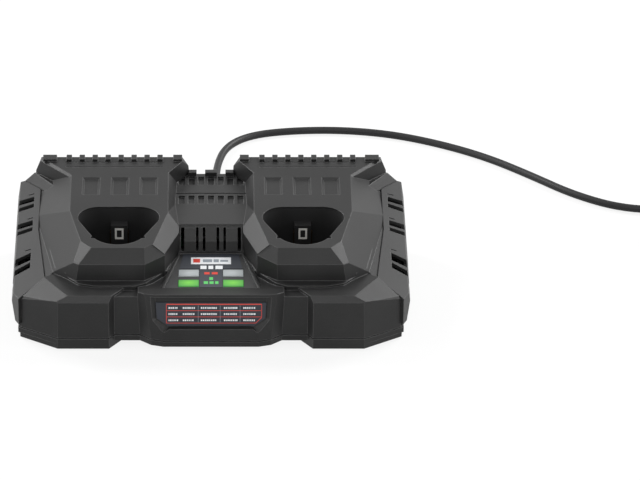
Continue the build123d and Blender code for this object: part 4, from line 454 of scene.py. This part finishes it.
# ---------------------------------------------------------------- front label
# A navy polyester label in the pocket of the visor, with a table printed in a red frame. Its entries are
# plain marks in rows and columns, with no lettering.
navy_film = moulded("navy_polyester", "#191d26", "#20252f", 10, 0.8, 0.006, {"Roughness": 0.5})
wear(navy_film, "front_label")
face_tilt = 0.0862  # the visor's face leans back 2.3 mm in 26.6 mm
label_up = np.array([0.0, sin(face_tilt), cos(face_tilt)])
label_out = np.array([0.0, -cos(face_tilt), sin(face_tilt)])
face_foot = np.array([0.0, -62.5, 7.4])
pocket_depth = 2.1
label_axes = (face_foot / 1000 - label_out * pocket_depth / 1000, (1.0, 0.0, 0.0), label_up)
line = 0.28
frame_left, frame_right, frame_top, frame_foot = -23.9, 27.1, 20.6, 9.3
cut_corner = [[23.5, frame_foot], [23.9, frame_foot], [frame_right, 12.6], [26.75, 12.75]]
printed(
    "label_frame",
    np.concatenate(
        [
            bars(
                (frame_left, frame_top - 0.6, frame_right, frame_top),
                (frame_left, 16.5, frame_right, 16.5 + line),
                (frame_left, 12.9, frame_right, 12.9 + line),
                (frame_left, frame_foot, frame_right - 3.4, frame_foot + line),
                (frame_left, frame_foot, frame_left + line, frame_top),
                (frame_right - line, 12.6, frame_right, frame_top),
            ),
            [cut_corner],
        ]
    ),
    label_axes,
    ink_low,
    ink_high,
    red_ink,
)
printed(
    "label_columns",
    bars(*[(x, 9.9, x + 0.16, 19.6) for x in (-6.9, 4.8, 15.4)]),
    label_axes,
    ink_low,
    ink_high - 0.01,
    grey_ink,
)
shuffle = np.random.default_rng(4)
marks = []
for row, height in ((17.7, 1.0), (14.2, 0.95), (10.6, 0.95)):
    for left, right in ((-22.6, -17.2), (-15.0, -8.2), (-5.4, 3.6), (6.9, 14.2), (17.2, 24.0)):
        widths = shuffle.uniform(0.4, 0.8, 12)
        starts = left + np.concatenate([[0], np.cumsum(widths + shuffle.uniform(0.25, 0.45, 12))[:-1]])
        kept = starts + widths <= right
        marks += [(s, row, s + w, row + height) for s, w in zip(starts[kept], widths[kept])]
printed("label_entries", bars(*marks), label_axes, ink_low, ink_high, white_ink)

# ---------------------------------------------------------------- strain relief and cord clamp
# The boot is soft PVC moulded onto the cord, ringed so that it bends, and the clamp inside takes the pull.
cord_pvc = moulded(
    "flex_pvc", "#101010", "#18181a", 25, 0.9, 0.02, {"Roughness": 0.5, "IOR": 1.5, "Specular IOR Level": 0.3}
)
wear(cord_pvc, "strain_relief", "inner_cord", "plug_body")
wear(fan_pbt, "cord_clamp")

# ---------------------------------------------------------------- power cord
# A two-core flexible cord with a round PVC sheath, 4.4 mm thick and about 1.5 m long. It comes out of the
# boot, drops to the table, runs round behind the charger and lies with its spare length in a tied coil.
cord_mm, cord_x, boot_end, cord_z = 4.4, 3.0, 88.5, 15.0
coil_x, coil_y, coil_radius = 281.0, 73.0, 29.4
steps = 100
first_turn, last_turn = radians(4.0), radians(90.0 + 6 * 360.0)
step = (last_turn - first_turn) / steps
route = [
    (cord_x, boot_end, cord_z),
    (cord_x, 100.5, cord_z),
    (cord_x, 116.5, 9.0),
    (2.7, 135.5, 2.9),
    (3.5, 163.0, 2.3),
    (9.0, 188.0, 2.3),
    (24.0, 203.5, 2.3),
    (50.0, 209.5, 2.3),
    (79.0, 210.0, 2.3),
    (108.0, 204.0, 2.3),
    (136.0, 190.5, 2.3),
    (162.0, 172.5, 2.3),
    (185.5, 149.0, 2.3),
    (208.5, 123.5, 2.3),
    (235.07, 105.68, 2.3),
    (264.0, 103.66, 2.3),
]


def shift(angle, start, end):
    """From 0 to 1 between two angles in degrees, by 3 t^2 - 2 t^3."""
    t = np.clip((np.degrees(angle) - start) / (end - start), 0, 1)
    return t * t * (3 - 2 * t)


for k in range(steps):
    turn = first_turn + step * (k + 0.5)
    radius = (
        coil_radius
        - cord_mm * (shift(turn, 308, 362) + shift(turn, 668, 722))
        + cord_mm * (shift(turn, 1280, 1335) + shift(turn, 1640, 1695))
        - cord_mm / 2 * (shift(turn, 1990, 2045) - shift(turn, 2190, 2240))
    )
    height = 2.4 + 4.45 * shift(turn, 980, 1025) + 4.35 * shift(turn, 1975, 2035)
    corner = radius / cos(step / 2)
    route.append((coil_x + corner * sin(turn), coil_y + corner * cos(turn), height))
plug_x, plug_z = 310.4, 6.85
route += [(plug_x, 64.0, 11.2), (plug_x, 56.0, 8.6), (plug_x, 49.0, plug_z), (plug_x, 42.0, plug_z)]
route.append((plug_x, 36.0, plug_z))

cord_curve = bpy.data.curves.new("power_lead", "CURVE")
cord_curve.dimensions = "3D"
spline = cord_curve.splines.new("NURBS")
spline.points.add(len(route) - 1)
spline.points.foreach_set("co", np.hstack([np.array(route) / 1000, np.ones((len(route), 1))]).ravel())
spline.order_u = 3
spline.use_endpoint_u = True
spline.resolution_u = 6
cord_curve.bevel_depth = cord_mm / 2000
cord_curve.bevel_resolution = 5
cord_curve.use_fill_caps = True
cord_curve.materials.append(cord_pvc)
power_lead = bpy.data.objects.new("power_lead", cord_curve)
bpy.context.scene.collection.objects.link(power_lead)
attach(power_lead, "housing")
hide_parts("power_cord", "power_cord_coil")

# ---------------------------------------------------------------- tie and plug
# A polypropylene band holds the coil. The flat plug is moulded onto the cord in PVC, and its two pins are
# nickel-plated brass with an insulating sleeve over the half next to the body.
tie_pp = moulded("cord_tie_pp", "#101011", "#1a1a1b", 3, 0.5, 0.02, {"Roughness": 0.5})
wear(tie_pp, "cord_tie")
sleeve_length = 0.010
sleeve_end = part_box("plug_body")[0].y - sleeve_length
pins, pin_tree, pin_shader, pin_place = finish("sleeved_nickel_pins", {"Roughness": 0.3})
along = put(pin_tree, "ShaderNodeSeparateXYZ", feeds={0: pin_place}).outputs["Y"]
bare = put(pin_tree, "ShaderNodeMath", {1: sleeve_end}, {0: along}, operation="LESS_THAN").outputs[0]
streak = noise(pin_tree, pin_place, 900.0, 2.0)
nickel = put(
    pin_tree,
    "ShaderNodeMix",
    {6: linear("#b9b6ae"), 7: linear("#d2cfc8")},
    {0: streak.outputs["Fac"]},
    data_type="RGBA",
)
coat = put(
    pin_tree,
    "ShaderNodeMix",
    {6: linear("#161617")},
    {0: bare, 7: nickel.outputs[2]},
    data_type="RGBA",
)
pin_tree.links.new(coat.outputs[2], pin_shader.inputs["Base Color"])
pin_tree.links.new(bare, pin_shader.inputs["Metallic"])
wear(pins, "plug_pins")

# ---------------------------------------------------------------- floor
# A white table top, 0.1 mm below the underside of the rubber feet.
floor_reach, floor_level = 6, -0.0001
floor_sides = ((-1, -1), (1, -1), (1, 1), (-1, 1))
floor_corners = [(x * floor_reach, y * floor_reach, floor_level) for x, y in floor_sides]
floor_mesh = bpy.data.meshes.new("table_top")
floor_mesh.from_pydata(floor_corners, [], [(0, 1, 2, 3)])
floor = bpy.data.objects.new("table_top", floor_mesh)
bpy.context.scene.collection.objects.link(floor)


def shown_white(tree):
    """1 for a ray from the camera, from a glossy reflection or through glass, and 0 for all other light."""
    path = put(tree, "ShaderNodeLightPath").outputs
    glossy = put(
        tree,
        "ShaderNodeMath",
        feeds={0: path["Is Camera Ray"], 1: path["Is Glossy Ray"]},
        operation="MAXIMUM",
    )
    return put(
        tree,
        "ShaderNodeMath",
        feeds={0: glossy.outputs[0], 1: path["Is Transmission Ray"]},
        operation="MAXIMUM",
    ).outputs[0]


floor_white = bpy.data.materials.new("white_table")
floor_white.use_nodes = True
floor_tree = floor_white.node_tree
floor_tree.nodes.clear()
floor_glow = 0.85  # the rest is the diffuse floor, which takes the shadow
sees = put(
    floor_tree,
    "ShaderNodeMath",
    {1: floor_glow},
    {0: shown_white(floor_tree)},
    operation="MULTIPLY",
)
matt_white = put(floor_tree, "ShaderNodeBsdfDiffuse", {"Color": linear("#f4f4f4")})
plain_white = put(floor_tree, "ShaderNodeEmission", {"Color": (1, 1, 1, 1), "Strength": 1.0})
floor_mix = put(
    floor_tree,
    "ShaderNodeMixShader",
    feeds={0: sees.outputs[0], 1: matt_white.outputs[0], 2: plain_white.outputs[0]},
)
put(floor_tree, "ShaderNodeOutputMaterial", feeds={"Surface": floor_mix.outputs[0]})
floor_mesh.materials.append(floor_white)

# ---------------------------------------------------------------- lights
# A large soft box behind at each side, which the slanted facets catch, a low one at each side, one high in
# front, and an even sky.
world = bpy.data.worlds.new("studio")
bpy.context.scene.world = world
world.use_nodes = True
world.node_tree.nodes.clear()
sky_light = put(world.node_tree, "ShaderNodeBackground", {"Color": (1, 1, 1, 1), "Strength": 0.3})
sky_white = put(world.node_tree, "ShaderNodeBackground", {"Color": (1, 1, 1, 1), "Strength": 1.0})
sky = put(
    world.node_tree,
    "ShaderNodeMixShader",
    feeds={0: shown_white(world.node_tree), 1: sky_light.outputs[0], 2: sky_white.outputs[0]},
)
put(world.node_tree, "ShaderNodeOutputWorld", feeds={"Surface": sky.outputs[0]})


def soft_box(name, place, aim, size, watts):
    """A square area lamp at a place in metres, turned so that it faces the point aim."""
    lamp = bpy.data.lights.new(name, "AREA")
    lamp.size = size
    lamp.energy = watts
    held = bpy.data.objects.new(name, lamp)
    towards = Vector(aim) - Vector(place)
    held.location = place
    held.rotation_euler = towards.to_track_quat("-Z", "Y").to_euler()
    bpy.context.scene.collection.objects.link(held)


soft_box("behind_left", (-1.7, 1.3, 1.6), (0, 0, 0), 1.0, 54)
soft_box("behind_right", (1.7, 1.3, 1.6), (0, 0, 0), 1.0, 54)
soft_box("low_left", (-1.9, -0.5, 0.6), (0, 0, 0), 0.8, 14)
soft_box("low_right", (1.9, -0.5, 0.6), (0, 0, 0), 0.8, 14)
soft_box("front", (0.0, -1.7, 1.6), (0, 0, 0), 0.8, 12)

# ---------------------------------------------------------------- camera
# A long lens in front, 27 degrees above the table, with the charger left of the middle.
elevation = radians(27.0)
distance, aim_y, aim_z = 2.190, 0.0117, 0.030
camera_data = bpy.data.cameras.new("camera")
camera_data.sensor_width = 36.0
camera_data.lens = 225.0
picture_width, charger_column = 640, 211
camera_data.shift_x = (picture_width / 2 - charger_column) / picture_width
camera_data.clip_start, camera_data.clip_end = 0.1, 30.0
camera = bpy.data.objects.new("camera", camera_data)
camera.location = (0.0, aim_y - distance * cos(elevation), aim_z + distance * sin(elevation))
camera.rotation_euler = (pi / 2 - elevation, 0.0, 0.0)
bpy.context.scene.collection.objects.link(camera)
bpy.context.scene.camera = camera
bpy.context.scene.view_settings.view_transform = "Standard"
